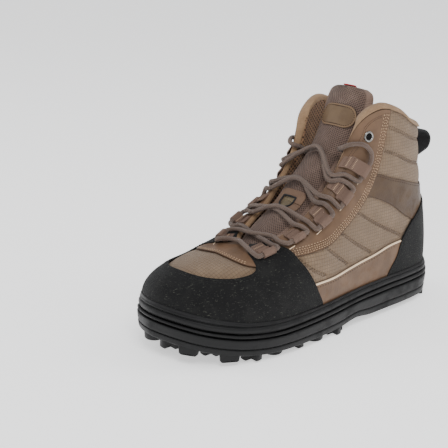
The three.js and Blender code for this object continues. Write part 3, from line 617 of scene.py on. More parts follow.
def tongueFinish():  # mesh in the middle, smooth strips down both sides
    finish = Finish("tongueMesh", 0.85, Sheen_Weight=0.1)
    net = finish.use("mesh", finish.surfaceMm(), 1.75)
    cloud = finish.use("dust", finish.objectMm(), 12.0)[0]
    strip = finish.band(finish.mark("side"), 6.6, 6.2)
    seam = finish.sum("MULTIPLY", strip, finish.band(finish.mark("side"), 5.4, 6.2))
    colour = finish.mixed(cloud, paint(106, 86, 76), paint(124, 103, 91))
    holes = finish.sum("MULTIPLY", net[0], finish.sum("MULTIPLY_ADD", strip, -0.9, 0.95))
    colour = finish.mixed(holes, colour, paint(26, 19, 16))
    colour = finish.mixed(strip, colour, finish.mixed(cloud, paint(120, 98, 86), paint(134, 112, 98)))
    colour = finish.mixed(finish.sum("MULTIPLY", seam, 0.6), colour, paint(64, 48, 40))
    return finish.done(colour, finish.bump(net[1], 0.45))


def webbingFinish(name, light, dark, thread=0.9, roughness=0.75):
    finish = Finish(name, roughness)
    weave = finish.use("weave", finish.surfaceMm(), thread)
    cloud = finish.use("dust", finish.objectMm(), 7.0)[0]
    colour = finish.mixed(finish.sum("MULTIPLY", weave[1], 0.5), light, dark)
    colour = finish.mixed(finish.sum("MULTIPLY", cloud, 0.2), colour, light)
    return finish.done(colour, finish.bump(weave[0], 0.25))


def laceFinish():
    finish = Finish("laceBraid", 0.75, Sheen_Weight=0.15)
    braid = finish.use("braid", finish.surfaceMm(), 1.05)
    cloud = finish.use("dust", finish.objectMm(), 10.0)[0]
    colour = finish.mixed(braid[1], paint(90, 73, 64), paint(126, 106, 93))
    colour = finish.mixed(finish.sum("MULTIPLY", cloud, 0.2), colour, paint(76, 61, 53))
    return finish.done(colour, finish.bump(braid[0], 0.35))


def threadFinish(name, colour, dark):
    finish = Finish(name, 0.7)
    noise = finish.use("dust", finish.objectMm(), 1.2)[0]
    return finish.done(finish.mixed(noise, colour, dark), finish.bump(noise, 0.08))


def metalFinish():
    finish = Finish("nickelRing", 0.28, Metallic=1.0)
    cloud = finish.use("dust", finish.objectMm(), 2.5)[0]
    colour = finish.mixed(cloud, paint(158, 157, 153), paint(118, 116, 112))
    return finish.done(colour, finish.bump(cloud, 0.03), finish.band(cloud, 0, 1, 0.22, 0.42))


def bindingFinish():
    finish = Finish("edgeBinding", 0.65, Sheen_Weight=0.1)
    weave = finish.use("weave", finish.surfaceMm(), 0.8)
    cloud = finish.use("dust", finish.objectMm(), 11.0)[0]
    colour = finish.mixed(cloud, paint(146, 117, 88), paint(164, 134, 102))
    colour = finish.mixed(finish.sum("MULTIPLY", weave[1], 0.22), colour, paint(104, 80, 58))
    return finish.done(colour, finish.bump(weave[0], 0.14))


finishes = {
    "rubber": rubberFinish(),
    "suede": suedeFinish(),
    "leather": leatherFinish("brownLeather", paint(108, 83, 63), paint(91, 69, 51)),
    "darkLeather": leatherFinish("bandLeather", paint(80, 61, 42), paint(68, 50, 35)),
    "badge": badgeFinish(),
    "ripstop": ripstopFinish(),
    "lining": meshFinish("liningMesh", paint(150, 116, 86), paint(124, 94, 70), paint(26, 17, 12), 3.0),
    "tongue": tongueFinish(),
    "lightMesh": meshFinish("keeperMesh", paint(150, 134, 104), paint(130, 114, 86), paint(62, 50, 38), 1.5),
    "webbing": webbingFinish("loopWebbing", paint(122, 99, 86), paint(84, 66, 57), 0.7),
    "patchWebbing": webbingFinish("patchWebbing", paint(130, 104, 86), paint(104, 82, 67), 0.6),
    "blackWebbing": webbingFinish("pullWebbing", paint(44, 44, 46), paint(22, 22, 23), 1.1),
    "bore": webbingFinish("boreShade", paint(5, 5, 5), paint(2, 2, 2), 1.1, 1.0),
    "red": webbingFinish("redTag", paint(196, 44, 48), paint(150, 28, 34), 0.6),
    "binding": bindingFinish(),
    "footbed": webbingFinish("footbedFelt", paint(58, 54, 50), paint(40, 37, 35), 1.3, 0.95),
    "lace": laceFinish(),
    "metal": metalFinish(),
    "tanThread": threadFinish("tanThread", paint(206, 176, 142), paint(166, 136, 106)),
    "darkThread": threadFinish("darkThread", paint(66, 48, 38), paint(46, 34, 27)),
    "blackThread": threadFinish("blackThread", paint(24, 23, 23), paint(40, 38, 37)),
    "cream": threadFinish("creamPiping", paint(240, 215, 184), paint(222, 192, 158)),
}
print("scene: finishes", len(finishes))

# Helpers that make and place pieces


def newWork(marks=()):
    work = bmesh.new()
    uv = work.loops.layers.uv.new("UVMap")
    return work, uv, {name: work.verts.layers.float.new(name) for name in marks}


def addPiece(work, name, materials, slotName, stands=(), thick=0, bevel=0, depth=-1):
    mesh = bpy.data.meshes.new(name)
    for face in work.faces:
        face.smooth = True
    work.to_mesh(mesh)
    work.free()
    piece = bpy.data.objects.new(name, mesh)
    scene.collection.objects.link(piece)
    for key in materials:
        mesh.materials.append(finishes[key])
    if thick:
        wall = piece.modifiers.new("thickness", "SOLIDIFY")
        wall.thickness = thick / 1000
        wall.offset = depth
        wall.use_even_offset = False
    if bevel:
        soft = piece.modifiers.new("softEdge", "BEVEL")
        soft.width = bevel / 1000
        soft.segments = 2
        soft.limit_method = "ANGLE"
        soft.angle_limit = math.radians(50)
        soft.harden_normals = True
    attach(piece, "root")
    if stands:
        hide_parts(*stands)
    return piece


def gridWork(columns, rows, shape, turned=False, welded=False, marks=None, inks=None, uvOf=None):
    # A grid bent over a form: shape(a, b) gives each point, and the UV map holds true lengths
    marks = marks or {}
    work, uv, markOf = newWork(["fromLow", "fromHigh", *marks])
    bmesh.ops.create_grid(work, x_segments=columns, y_segments=rows, size=0.5)
    cells = {}
    for vert in work.verts:
        cells[vert] = round((vert.co.x + 0.5) * columns), round((vert.co.y + 0.5) * rows)
    spots = [[shape(i / columns, j / rows) for j in range(rows + 1)] for i in range(columns + 1)]
    alongRow = [[0.0] * (rows + 1) for _ in range(columns + 1)]
    upColumn = [[0.0] * (rows + 1) for _ in range(columns + 1)]
    for i in range(columns + 1):
        for j in range(rows + 1):
            if i:
                alongRow[i][j] = alongRow[i - 1][j] + (spots[i][j] - spots[i - 1][j]).length
            if j:
                upColumn[i][j] = upColumn[i][j - 1] + (spots[i][j] - spots[i][j - 1]).length
    for face in work.faces:
        for corner in face.loops:
            i, j = cells[corner.vert]
            corner[uv].uv = uvOf(i, j) if uvOf else (alongRow[i][j], upColumn[i][j])
        if inks:
            face.material_index = inks(min(cells[corner.vert][1] for corner in face.loops))
    for vert in work.verts:
        i, j = cells[vert]
        vert[markOf["fromLow"]] = upColumn[i][j]
        vert[markOf["fromHigh"]] = upColumn[i][rows] - upColumn[i][j]
        for name, value in marks.items():
            vert[markOf[name]] = value(i / columns, j / rows)
        vert.co = place(spots[i][j])
    if turned:
        bmesh.ops.reverse_faces(work, faces=work.faces)
    if welded:
        bmesh.ops.remove_doubles(work, verts=work.verts, dist=2e-6)
    return work


def profileRows(rows, fineness):  # a smooth profile through rows of numbers
    count = (len(rows) - 1) * fineness
    columns = list(zip(*rows))
    return [[through(column, k / fineness) for column in columns] for k in range(count + 1)]


def evenShares(points, spacing):
    # Even real distances along a line of points, each as the point before it and the share after that
    reach = [0.0]
    for before, after in zip(points, points[1:]):
        reach.append(reach[-1] + (after - before).length)
    count = max(2, round(reach[-1] / spacing))
    made, index = [], 0
    for k in range(count + 1):
        target = reach[-1] * k / count
        while index < len(reach) - 2 and reach[index + 1] < target:
            index += 1
        gap = reach[index + 1] - reach[index]
        made.append((index, (target - reach[index]) / gap if gap else 0))
    return made


def evenly(points, spacing):
    return [points[index].lerp(points[index + 1], share) for index, share in evenShares(points, spacing)]


def tubeWork(points, radius, sides=12, spacing=1.4, taper=True):
    # A round cord along a line of points, its ends drawn in to a pole
    centres = evenly(points, spacing)
    count = len(centres) - 1
    ahead = [(centres[min(k + 1, count)] - centres[max(k - 1, 0)]).normalized() for k in range(count + 1)]
    side = Vector((0, 0, 1))
    sidesAt = []
    for direction in ahead:
        side = (side - direction * side.dot(direction)).normalized()
        sidesAt.append((side.copy(), direction.cross(side)))

    def shape(a, b):
        k = round(a * count)
        first, second = sidesAt[k]
        angle = 2 * math.pi * b
        size = 0 if taper and k in (0, count) else radius
        return centres[k] + (first * math.cos(angle) + second * math.sin(angle)) * size

    work = gridWork(count, sides, shape, welded=True)
    bmesh.ops.recalc_face_normals(work, faces=work.faces)
    return work


def joinWorks(works):
    joined = works[0]
    for other in works[1:]:
        mesh = bpy.data.meshes.new("joining")
        other.to_mesh(mesh)
        other.free()
        joined.from_mesh(mesh)
        bpy.data.meshes.remove(mesh)
    return joined


def stitchWork(stitches):
    # Small rounded dashes: place, along, out, length, width, height. Joined in batches, which is far quicker
    batches = []
    for index, (spot, along, out, length, width, high) in enumerate(stitches):
        if index % 40 == 0:
            batches.append(newWork()[0])
        across = out.cross(along).normalized()
        out = along.cross(across).normalized()
        sides = along.normalized() * length / 2, across * width / 2, out * high / 2
        turn = Matrix.Scale(0.001, 4) @ Matrix(sides).transposed().to_4x4()
        turn.translation = place(spot)
        bmesh.ops.create_uvsphere(batches[-1], u_segments=6, v_segments=4, radius=1, matrix=turn)
    return joinWorks(batches)


def surfaceLine(points, spacing=1.0):
    # (u, v) places at even real distances along a smooth line on the last
    fineness = 12
    columns = list(zip(*points))
    dense = []
    for k in range((len(points) - 1) * fineness + 1):
        dense.append(tuple(through(column, k / fineness) for column in columns))
    made = []
    for index, share in evenShares([last(*spot) for spot in dense], spacing):
        made.append(tuple(mix(dense[index][n], dense[index + 1][n], share) for n in (0, 1)))
    return made


def sidled(line, distance):  # the line moved sideways over the surface
    moved = []
    for k, (u, v) in enumerate(line):
        before, after = line[max(k - 1, 0)], line[min(k + 1, len(line) - 1)]
        along = (last(*after) - last(*before)).normalized()
        aside = lastNormal(u, v).cross(along) * distance
        around, up = slopes(u, v)
        aa, bb, ab = around.dot(around), up.dot(up), around.dot(up)
        ra, rb = aside.dot(around), aside.dot(up)
        under = aa * bb - ab * ab
        moved.append((u + (ra * bb - rb * ab) / under, v + (rb * aa - ra * ab) / under))
    return moved


def lineStitches(line, off, length=2.3, gap=1.2, width=0.7, high=0.6, slant=0.0):
    pitch = length + gap
    spacing = sum((last(*b) - last(*a)).length for a, b in zip(line, line[1:])) / (len(line) - 1)
    every = max(1, round(pitch / spacing))
    made = []
    for k in range(every // 2, len(line) - 1, every):
        u, v = line[k]
        along = (last(*line[k + 1]) - last(*line[k - 1 if k else 0])).normalized()
        out = lastNormal(u, v)
        if slant:
            along = (Matrix.Rotation(slant, 3, out) @ along).normalized()
        made.append((skin(u, v, off), along, out, length, width, high))
    return made


# Overlay regions: each row holds a place on one edge and the facing place on the other, as u, v, u, v
topEdge = 0.985
regions = {
    "cap": [
        [10.95, topEdge, 12.20, topEdge], [10.57, 0.90, 11.75, 0.86], [9.72, 0.73, 11.25, 0.745],
        [9.08, 0.55, 10.97, 0.665], [8.37, 0.37, 10.90, 0.63], [7.73, 0.185, 10.87, 0.605],
        [7.335, 0.0, 10.90, 0.58], [8.60, 0.0, 11.00, 0.555], [10.0, 0.0, 11.30, 0.52],
        [11.0, 0.0, 11.70, 0.492], [12.0, 0.0, 12.30, 0.470], [13.0, 0.0, 13.00, 0.475],
    ],
    "counter": [
        [3.91, 0.0, -3.91, 0.0], [3.78, 0.05, -3.78, 0.05], [3.50, 0.133, -3.50, 0.133],
        [3.32, 0.236, -3.32, 0.236], [2.96, 0.324, -2.96, 0.324], [2.50, 0.40, -2.50, 0.40],
        [1.95, 0.464, -1.95, 0.464], [1.00, 0.50, -1.00, 0.50],
    ],
    "stay": [
        [11.0, topEdge, 10.0, 0.66], [10.4, topEdge, 9.33, 0.61], [9.65, topEdge, 8.39, 0.527],
        [8.90, topEdge, 7.43, 0.465], [8.30, topEdge, 6.70, 0.462], [7.80, topEdge, 6.11, 0.468],
        [7.28, topEdge, 5.59, 0.507], [6.86, topEdge, 5.24, 0.563], [6.45, topEdge, 4.97, 0.638],
        [6.10, topEdge, 4.81, 0.718], [5.68, topEdge, 4.70, 0.809], [5.22, topEdge, 4.60, 0.909],
        [4.80, topEdge, 4.53, 0.983],
    ],
    "panel": [
        [8.60, 0.260, 8.60, 0.0], [7.84, 0.234, 7.84, 0.0], [6.40, 0.184, 6.40, 0.0],
        [4.88, 0.181, 4.88, 0.0], [3.95, 0.217, 3.95, 0.0], [2.90, 0.250, 2.90, 0.0],
    ],
    "band": [
        [5.50, 0.680, 5.50, 0.570], [4.85, 0.661, 4.85, 0.530], [4.01, 0.635, 4.01, 0.480],
        [3.20, 0.633, 3.20, 0.410], [2.50, 0.622, 2.50, 0.350], [1.98, 0.611, 1.98, 0.300],
        [1.00, 0.605, 1.00, 0.300], [0.00, 0.603, 0.00, 0.300],
    ],
    "plate": [
        [10.90, 0.67, 10.90, 0.645], [11.38, 0.80, 11.38, 0.678], [11.85, 0.92, 11.85, 0.724],
        [12.40, topEdge, 12.40, 0.768], [13.00, topEdge, 13.00, 0.790],
    ],
}


def flipped(rows):
    return [[mirrored(row[0]), row[1], mirrored(row[2]), row[3]] for row in rows]


def bothSides(rows):
    return rows + flipped(rows[:-1])[::-1]


regions["cap"] = bothSides(regions["cap"])
regions["plate"] = bothSides(regions["plate"])
regions["band"] = regions["band"] + [[-row[0], row[1], -row[2], row[3]] for row in regions["band"][:-1]][::-1]
regions["stayInner"] = flipped(regions["stay"])
regions["panelInner"] = flipped(regions["panel"])


def regionPlace(rows, at, across):
    u1, v1, u2, v2 = (through([row[k] for row in rows], at * (len(rows) - 1)) for k in range(4))
    return mix(u1, u2, across), clamp(mix(v1, v2, across), 0, topEdge)


def regionLine(name, across, start=0.0, end=1.0, spacing=0.6):
    rows = regions[name]
    count = 8 * len(rows)
    places = [regionPlace(rows, mix(start, end, k / count), across) for k in range(count + 1)]
    return surfaceLine(places, spacing)


def regionOutline(name):
    rows = regions[name]
    forth = [regionPlace(rows, k / 60, 0) for k in range(61)]
    back = [regionPlace(rows, k / 60, 1) for k in range(60, -1, -1)]
    return forth + back


outlines = {name: regionOutline(name) for name in regions}
boxes = {}
for name, line in outlines.items():
    us, vs = zip(*line)
    boxes[name] = min(us), max(us), min(vs), max(vs)


def insideLine(line, u, v):
    inside = False
    before = line[-1]
    for after in line:
        if (before[1] > v) != (after[1] > v):
            if u < mix(before[0], after[0], (v - before[1]) / (after[1] - before[1])):
                inside = not inside
        before = after
    return inside


def covered(u, v):
    for name, line in outlines.items():
        low, high, foot, top = boxes[name]
        for turn in (u, u - loopCount):
            if low <= turn <= high and foot <= v <= top and insideLine(line, turn, v):
                return True
    return False


# Upper: ripstop quarters and vamp, quilted, with a rolled padded rim and a mesh lining
quilting = {
    "trough": 0.9, "reach": 1.25, "bulge": 1.15, "swell": 7.0, "firm": 2.2, "under": -0.15,
    "seams": [
        [(9.10, 0.564), (8.18, 0.380), (7.26, 0.249)],
        [(7.93, 0.534), (6.94, 0.366), (5.98, 0.206)],
        [(6.72, 0.476), (5.76, 0.328), (4.71, 0.203)],
        [(5.74, 0.495), (4.68, 0.381), (3.29, 0.270)],
    ],
    "rounds": [
        [(4.62, 0.779), (3.64, 0.765), (2.14, 0.758), (0.0, 0.755)],
        [(4.49, 0.901), (3.63, 0.898), (2.07, 0.911), (0.0, 0.915)],
    ],
}
seamLines = []
for points in quilting["seams"]:
    seamLines.append(surfaceLine(points))
    seamLines.append(surfaceLine([(mirrored(u), v) for u, v in points]))
for points in quilting["rounds"]:
    seamLines.append(surfaceLine(points + [(-u, v) for u, v in points[-2::-1]]))
borderLines = [surfaceLine(line + line[:1], 1.5) for line in outlines.values()]


def nearTree(lines):
    points = [last(u, v) for line in lines for u, v in line]
    tree = kdtree.KDTree(len(points))
    for index, point in enumerate(points):
        tree.insert(point, index)
    tree.balance()
    return tree


seamTree, borderTree = nearTree(seamLines), nearTree(borderLines)
shell = {"columns": loopCount * 12, "outside": 84, "rim": 10, "inside": 24, "rimRise": 0.28, "foot": 0.98}
shellRows = shell["outside"] + shell["rim"] + shell["inside"]


@lru_cache(maxsize=None)
def quiltOff(u, v):
    point = last(u, v)
    toSeam = seamTree.find(point)[2]
    toBorder = borderTree.find(point)[2]
    nearest = min(toSeam, toBorder)
    if covered(u, v):
        return quilting["under"], toSeam
    swell = quilting["bulge"] * (1 - math.exp(-(nearest / quilting["swell"]) ** 1.5 * quilting["firm"]))
    dip = quilting["trough"] * math.exp(-(toSeam / quilting["reach"]) ** 2)
    fade = rampUp(v, 0.0, 0.05) * (1 - rampUp(v, 0.93, 0.99))
    return (swell - dip) * fade, toSeam


def rolledEdge(u, outside, inside, share, rise):  # round the top edge from its outside to its inside
    angle = math.pi * share
    edge = (last(u, 1) - last(u, 1 - tiny)).normalized()
    middle = (outside + inside) / 2
    return middle + (outside - middle) * math.cos(angle) + edge * (rise * math.sin(angle))


def shellPoint(a, b):
    u = a * loopCount
    row = round(b * shellRows)
    if row <= shell["outside"]:
        v = row / shell["outside"]
        return skin(u, v, quiltOff(round(u, 5), round(v, 5))[0])
    outside, inside = last(u, 1), skin(u, 1, -wallAt(u, 1))
    if row <= shell["outside"] + shell["rim"]:
        share = (row - shell["outside"]) / shell["rim"]
        return rolledEdge(u, outside, inside, share, wallAt(u, 1) * shell["rimRise"])
    share = (row - shell["outside"] - shell["rim"]) / shell["inside"]
    v = 1 - share * shell["foot"]
    return skin(u, v, -wallAt(u, v))


def seamMark(a, b):
    row = round(b * shellRows)
    if row > shell["outside"]:
        return 9.0
    return quiltOff(round(a * loopCount, 5), round(row / shell["outside"], 5))[1]


clothMap = {"heelAt": -110, "heelRound": 38, "vampFrom": 10.7, "vampTo": 15.3, "vampLean": 1.12}


def shellUv(i, j):
    # The cloth's grid stands square to the ground on the quarters and square to the toe on the vamp
    u = i / shell["columns"] * loopCount
    if j > shell["outside"]:
        spot = shellPoint(i / shell["columns"], j / shellRows)
    else:
        spot = last(u, j / shell["outside"])
    if clothMap["vampFrom"] < u < clothMap["vampTo"]:
        return spot.y, spot.x * clothMap["vampLean"]
    if spot.x > clothMap["heelAt"]:
        return spot.x - clothMap["heelAt"], spot.z
    return math.atan2(spot.x - clothMap["heelAt"], abs(spot.y)) * clothMap["heelRound"], spot.z


work = gridWork(
    shell["columns"], shellRows, shellPoint, turned=True, welded=True, uvOf=shellUv,
    marks={"seam": seamMark}, inks=lambda row: 0 if row < shell["outside"] + 3 else 1)
addPiece(work, "upperShell", ["ripstop", "lining"], "upper", ["upper"])
print("scene: upper")

# Overlays, a guard standing further out than a facing
layers = {"guardOff": 2.5, "guardThick": 1.5, "facingOff": 1.75, "facingThick": 1.3}


def addOverlay(name, region, off, thick, columns, rows, finish, slotName):
    table = regions[region]

    def shape(a, b):
        return skin(*regionPlace(table, a, b), off)

    # Which way round the table runs, so that the faces point outwards
    first, second = regionPlace(table, 0.5, 0.3), regionPlace(table, 0.51, 0.3)
    across = regionPlace(table, 0.5, 0.31)
    way = (last(*second) - last(*first)).cross(last(*across) - last(*first)).dot(lastNormal(*first))
    work = gridWork(columns, rows, shape, turned=way < 0, welded=True)
    return addPiece(work, name, [finish], slotName, [slotName], thick=thick, bevel=0.4)


guard = (layers["guardOff"], layers["guardThick"])
facing = (layers["facingOff"], layers["facingThick"])
flush = (layers["facingOff"] - 0.5, 0.9)
for name, region, (off, thick), columns, rows, finish, slotName in (
        ("toeGuard", "cap", guard, 220, 44, "suede", "toe_cap"),
        ("heelGuard", "counter", guard, 40, 120, "suede", "heel_counter"),
        ("vampPlateLeather", "plate", facing, 60, 20, "leather", "vamp_plate"),
        ("stayOuter", "stay", facing, 150, 30, "leather", "eyestay_lateral"),
        ("stayInner", "stayInner", facing, 150, 30, "leather", "eyestay_medial"),
        ("panelOuter", "panel", facing, 90, 20, "leather", "side_panel_lateral"),
        ("panelInner", "panelInner", facing, 90, 20, "leather", "side_panel_medial"),
        ("ankleBand", "band", flush, 160, 22, "darkLeather", "ankle_band")):
    addOverlay(name, region, off, thick, columns, rows, finish, slotName)
print("scene: overlays")

# Rolled binding over the collar and throat edge
binding = {
    "drop": 2.2, "inner": 3.4, "lift": 0.5, "swell": 0.4, "outerTuck": 0.9, "innerTuck": 0.8,
    "rows": 8, "rim": 10, "columns": loopCount * 14,
}
bindingRows = 2 * binding["rows"] + binding["rim"]


def edgeSpan(u, drop):  # share of v that a real drop from the top edge takes
    return drop / (last(u, 1) - last(u, 0.9)).length * 0.1


def bindingPoint(a, b):
    u = a * loopCount
    row = round(b * bindingRows)
    lift = binding["lift"]
    start = layers["facingOff"] + 0.1
    if row <= binding["rows"]:
        share = row / binding["rows"]
        v = 1 - edgeSpan(u, binding["drop"]) * (1 - share)
        tuck = binding["outerTuck"] if row == 0 else 0
        return skin(u, v, mix(start, lift, share) + binding["swell"] * math.sin(math.pi * share) - tuck)
    if row <= binding["rows"] + binding["rim"]:
        outside, inside = skin(u, 1, lift), skin(u, 1, -wallAt(u, 1) - lift)
        share = (row - binding["rows"]) / binding["rim"]
        return rolledEdge(u, outside, inside, share, wallAt(u, 1) * shell["rimRise"] + lift)
    share = (row - binding["rows"] - binding["rim"]) / binding["rows"]
    v = 1 - edgeSpan(u, binding["inner"]) * share
    tuck = binding["innerTuck"] if row == bindingRows else 0
    return skin(u, v, -wallAt(u, v) - mix(lift, 0.3, share) + tuck)


work = gridWork(binding["columns"], bindingRows, bindingPoint, turned=True, welded=True)
addPiece(work, "edgeBinding", ["binding"], "upper")
print("scene: binding")

# Sole: side wall, tread, bead band and footbed
soleSide = profileRows([  # inset, share of the wall from the tread to the band
    [5.2, -0.02], [3.6, 0.0], [1.7, 0.04], [1.2, 0.12], [0.9, 0.27], [1.75, 0.30], [1.7, 0.33], [0.8, 0.37],
    [0.35, 0.55], [0.1, 0.72], [0.9, 0.765], [2.7, 0.79], [2.9, 0.815], [1.3, 0.84], [0.35, 0.885],
    [0.35, 0.94], [1.3, 0.985], [3.6, 1.0],
], 3)
bandSide = profileRows([
    [4.4, 0.0], [2.6, 0.02], [1.5, 0.16], [1.2, 0.36], [1.7, 0.56], [2.9, 0.64], [2.7, 0.70], [2.2, 0.80],
    [2.9, 0.92],
], 3)
soleColumns = loopCount * 12
# The band's rim turns in over the upper's foot, then sinks behind it
cup = {"turn": 5, "sink": 3, "gap": 0.3}
midsoleRows = len(bandSide) + cup["turn"] + cup["sink"] - 1


def soleSidePoint(a, b):
    inset, high = soleSide[round(b * (len(soleSide) - 1))]
    return outline(a * loopCount, inset, lambda x: mix(treadBase(x), outsoleTop(x), high))


def bandPlace(u, row):
    inset, high = bandSide[row]
    return outline(u, inset, lambda x: mix(outsoleTop(x) + cup["gap"], platform(x) + sole["rimHeight"], high))


def midsolePoint(a, b):
    u = a * loopCount
    row = round(b * midsoleRows)
    if row < len(bandSide):
        return bandPlace(u, row)
    corner = bandPlace(u, -1)
    share = sole["rimHeight"] / (last(u, 1).z - last(u, 0).z)
    rim = skin(u, share, layers["guardOff"] + cup["gap"])
    sink = outline(u, sole["inset"] - 0.5, lambda x: platform(x) - cup["gap"])
    step = row - len(bandSide) + 1
    if step <= cup["turn"]:
        angle = math.pi / 2 * step / cup["turn"]
        across = 1 - math.cos(angle)
        high = mix(corner.z, rim.z, math.sin(angle))
        return Vector((mix(corner.x, rim.x, across), mix(corner.y, rim.y, across), high))
    return rim.lerp(sink, (step - cup["turn"]) / cup["sink"])


def plateWork(inset, height, columns, rows, below):  # a plate between the two sides of the sole
    def shape(a, b):
        u = a * (ribCount - 1)
        outer, inner = outline(u, inset, height), outline(mirrored(u), inset, height)
        return inner.lerp(outer, b) if below else outer.lerp(inner, b)
    return gridWork(columns, rows, shape, welded=True)


tread = {
    "pitchX": 24, "pitchY": 22.5, "margin": 2, "edge": 1.5, "stud": 16, "cross": 18, "arm": 6.5,
    "root": 6, "sunk": 0.6,  # a lug's own height before its foot is sunk into the sole
}
edgeCount = 2 * soleColumns
edgeTree = kdtree.KDTree(edgeCount)
edgePoints = []
for k in range(edgeCount):
    u = k / edgeCount * loopCount
    spot = outline(u, tread["edge"], 0)
    edgePoints.append((spot, outward(u)))
    edgeTree.insert(spot, k)
edgeTree.balance()


def insideSole(x, y, margin):
    return insideLine([tuple(outline(k / 4, margin).xy) for k in range(4 * loopCount)], x, y)


def keepInside(verts):  # lugs are trimmed to the sole's edge
    for vert in verts:
        flat = Vector((vert.co.x, vert.co.y, 0))
        spot, index, _ = edgeTree.find(flat)
        if (flat - edgePoints[index][0]).dot(edgePoints[index][1]) > 0:
            vert.co.x, vert.co.y = spot.x, spot.y


def spunWork(profile, steps):  # a profile of (radius, height) spun round Z
    work = newWork()[0]
    verts = [work.verts.new((across, 0, high)) for across, high in profile]
    edges = [work.edges.new(pair) for pair in zip(verts, verts[1:])]
    bmesh.ops.spin(
        work, geom=verts + edges, cent=(0, 0, 0), axis=(0, 0, 1), dvec=(0, 0, 0), angle=2 * math.pi,
        steps=steps, use_merge=True)
    return work


def studWork():
    # A round boss: its rim, a ring groove, an inner ring and a raised dot
    radius = tread["stud"] / 2
    work = spunWork([
        (radius + 0.5, tread["root"]), (radius, 1.0), (radius - 0.9, 0), (radius - 2.4, 0),
        (radius - 3.1, 1.3), (radius - 4.3, 1.3), (radius - 4.8, 0.5), (radius - 5.8, 0.5),
        (radius - 6.2, 1.1), (0, 1.0),
    ], 24)
    bmesh.ops.remove_doubles(work, verts=work.verts, dist=0.001)
    return work


def crossWork():
    # Four blades that meet in the middle: a plus-shaped face, drawn down to the floor, tapered and pointed
    work = newWork()[0]
    arm, tip = tread["arm"] / 2, tread["cross"] / 2
    corners = []
    for k in range(4):
        c, n = math.cos(k * math.pi / 2), math.sin(k * math.pi / 2)
        for x, y in ((tip, -arm), (tip + 0.5, 0), (tip, arm), (arm * 0.9, arm * 0.9)):
            corners.append((x * c - y * n, x * n + y * c, tread["root"]))
    base = work.faces.new([work.verts.new(corner) for corner in corners])
    raised = bmesh.ops.extrude_face_region(work, geom=[base])
    verts = [item for item in raised["geom"] if isinstance(item, bmesh.types.BMVert)]
    top = [item for item in raised["geom"] if isinstance(item, bmesh.types.BMFace)]
    bmesh.ops.translate(work, verts=verts, vec=(0, 0, -5))
    bmesh.ops.inset_region(work, faces=top, thickness=1.1, depth=0, use_even_offset=True)
    bmesh.ops.translate(work, verts=list({vert for face in top for vert in face.verts}), vec=(0, 0, -1.0))
    bmesh.ops.poke(work, faces=top, offset=0.8)
    lid = [face for face in work.faces if face.calc_center_median().z > tread["root"] - 0.1]
    bmesh.ops.delete(work, geom=lid, context="FACES_ONLY")
    bmesh.ops.recalc_face_normals(work, faces=work.faces)
    return work


def treadWork():
    studMesh, crossMesh = bpy.data.meshes.new("stud"), bpy.data.meshes.new("cross")
    for source, mesh in ((studWork(), studMesh), (crossWork(), crossMesh)):
        source.to_mesh(mesh)
        source.free()
    work = newWork()[0]
    rows = math.floor(sole["length"] / 2 / tread["pitchX"])
    across = math.floor(sole["width"] / 2 / tread["pitchY"])
    for i in range(-rows, rows + 1):
        for j in range(-across, across + 1):
            x, y = i * tread["pitchX"], j * tread["pitchY"]
            if sole["archFrom"] < soleShare(x) < sole["archTo"] or not insideSole(x, y, tread["margin"]):
                continue
            have = len(work.verts)
            work.from_mesh(studMesh if (i + j) % 2 else crossMesh)
            work.verts.ensure_lookup_table()
            fresh = work.verts[have:]
            for vert in fresh:
                vert.co.x += x
                vert.co.y += y
                atFoot = vert.co.z > tread["root"] / 2
                vert.co.z = treadBase(vert.co.x) + tread["sunk"] if atFoot else lugTip(x) + vert.co.z
            keepInside(fresh)
            for vert in fresh:
                vert.co = place(vert.co)
    bmesh.ops.remove_doubles(work, verts=work.verts, dist=1e-6)
    bmesh.ops.dissolve_degenerate(work, edges=work.edges, dist=1e-6)
    bmesh.ops.recalc_face_normals(work, faces=work.faces)
    return work


sideWork = gridWork(soleColumns, len(soleSide) - 1, soleSidePoint, turned=True, welded=True)
bottomWork = plateWork(soleSide[0][0], lambda x: treadBase(x) - 0.3, 130, 40, True)
work = joinWorks([sideWork, bottomWork, treadWork()])
addPiece(work, "soleRubberShell", ["rubber"], "outsole", ["outsole"])
work = gridWork(soleColumns, midsoleRows, midsolePoint, turned=True, welded=True)
addPiece(work, "midsoleBand", ["rubber"], "midsole", ["midsole"])
footbed = {"gap": 1.4, "top": 4, "thick": 3.8}
footbedInset = sole["inset"] + upper["wall"] + footbed["gap"]
work = plateWork(footbedInset, lambda x: platform(x) + footbed["top"], 90, 30, False)
addPiece(work, "footbedSheet", ["footbed"], "insole", ["insole"], thick=footbed["thick"], bevel=0.8)
print("scene: sole")

# Tongue: padded, crowned, with smooth side strips and its tags
tongueRows = [  # at, high, half, crown, thick
    [0.275, 0.335, 0.120, 1.5, 2.5], [0.222, 0.374, 0.140, 2.5, 3.5], [0.180, 0.422, 0.148, 4, 5],
    [0.125, 0.482, 0.185, 6, 7], [0.055, 0.561, 0.200, 8, 8], [0.003, 0.650, 0.200, 8, 8],
    [-0.041, 0.724, 0.192, 8, 8], [-0.085, 0.806, 0.200, 8, 8], [-0.118, 0.888, 0.220, 8, 8],
    [-0.142, 0.974, 0.230, 8, 7], [-0.157, 1.030, 0.212, 7, 5], [-0.162, 1.050, 0.150, 6, 4],
]
tongueEnd = len(tongueRows) - 1
tongueColumns = list(zip(*tongueRows))


def tonguePath(s):
    at, high, half, crown, thick = (through(column, s) for column in tongueColumns)
    return at * sole["length"], high * upper["collarHeight"], half * sole["width"], crown, thick


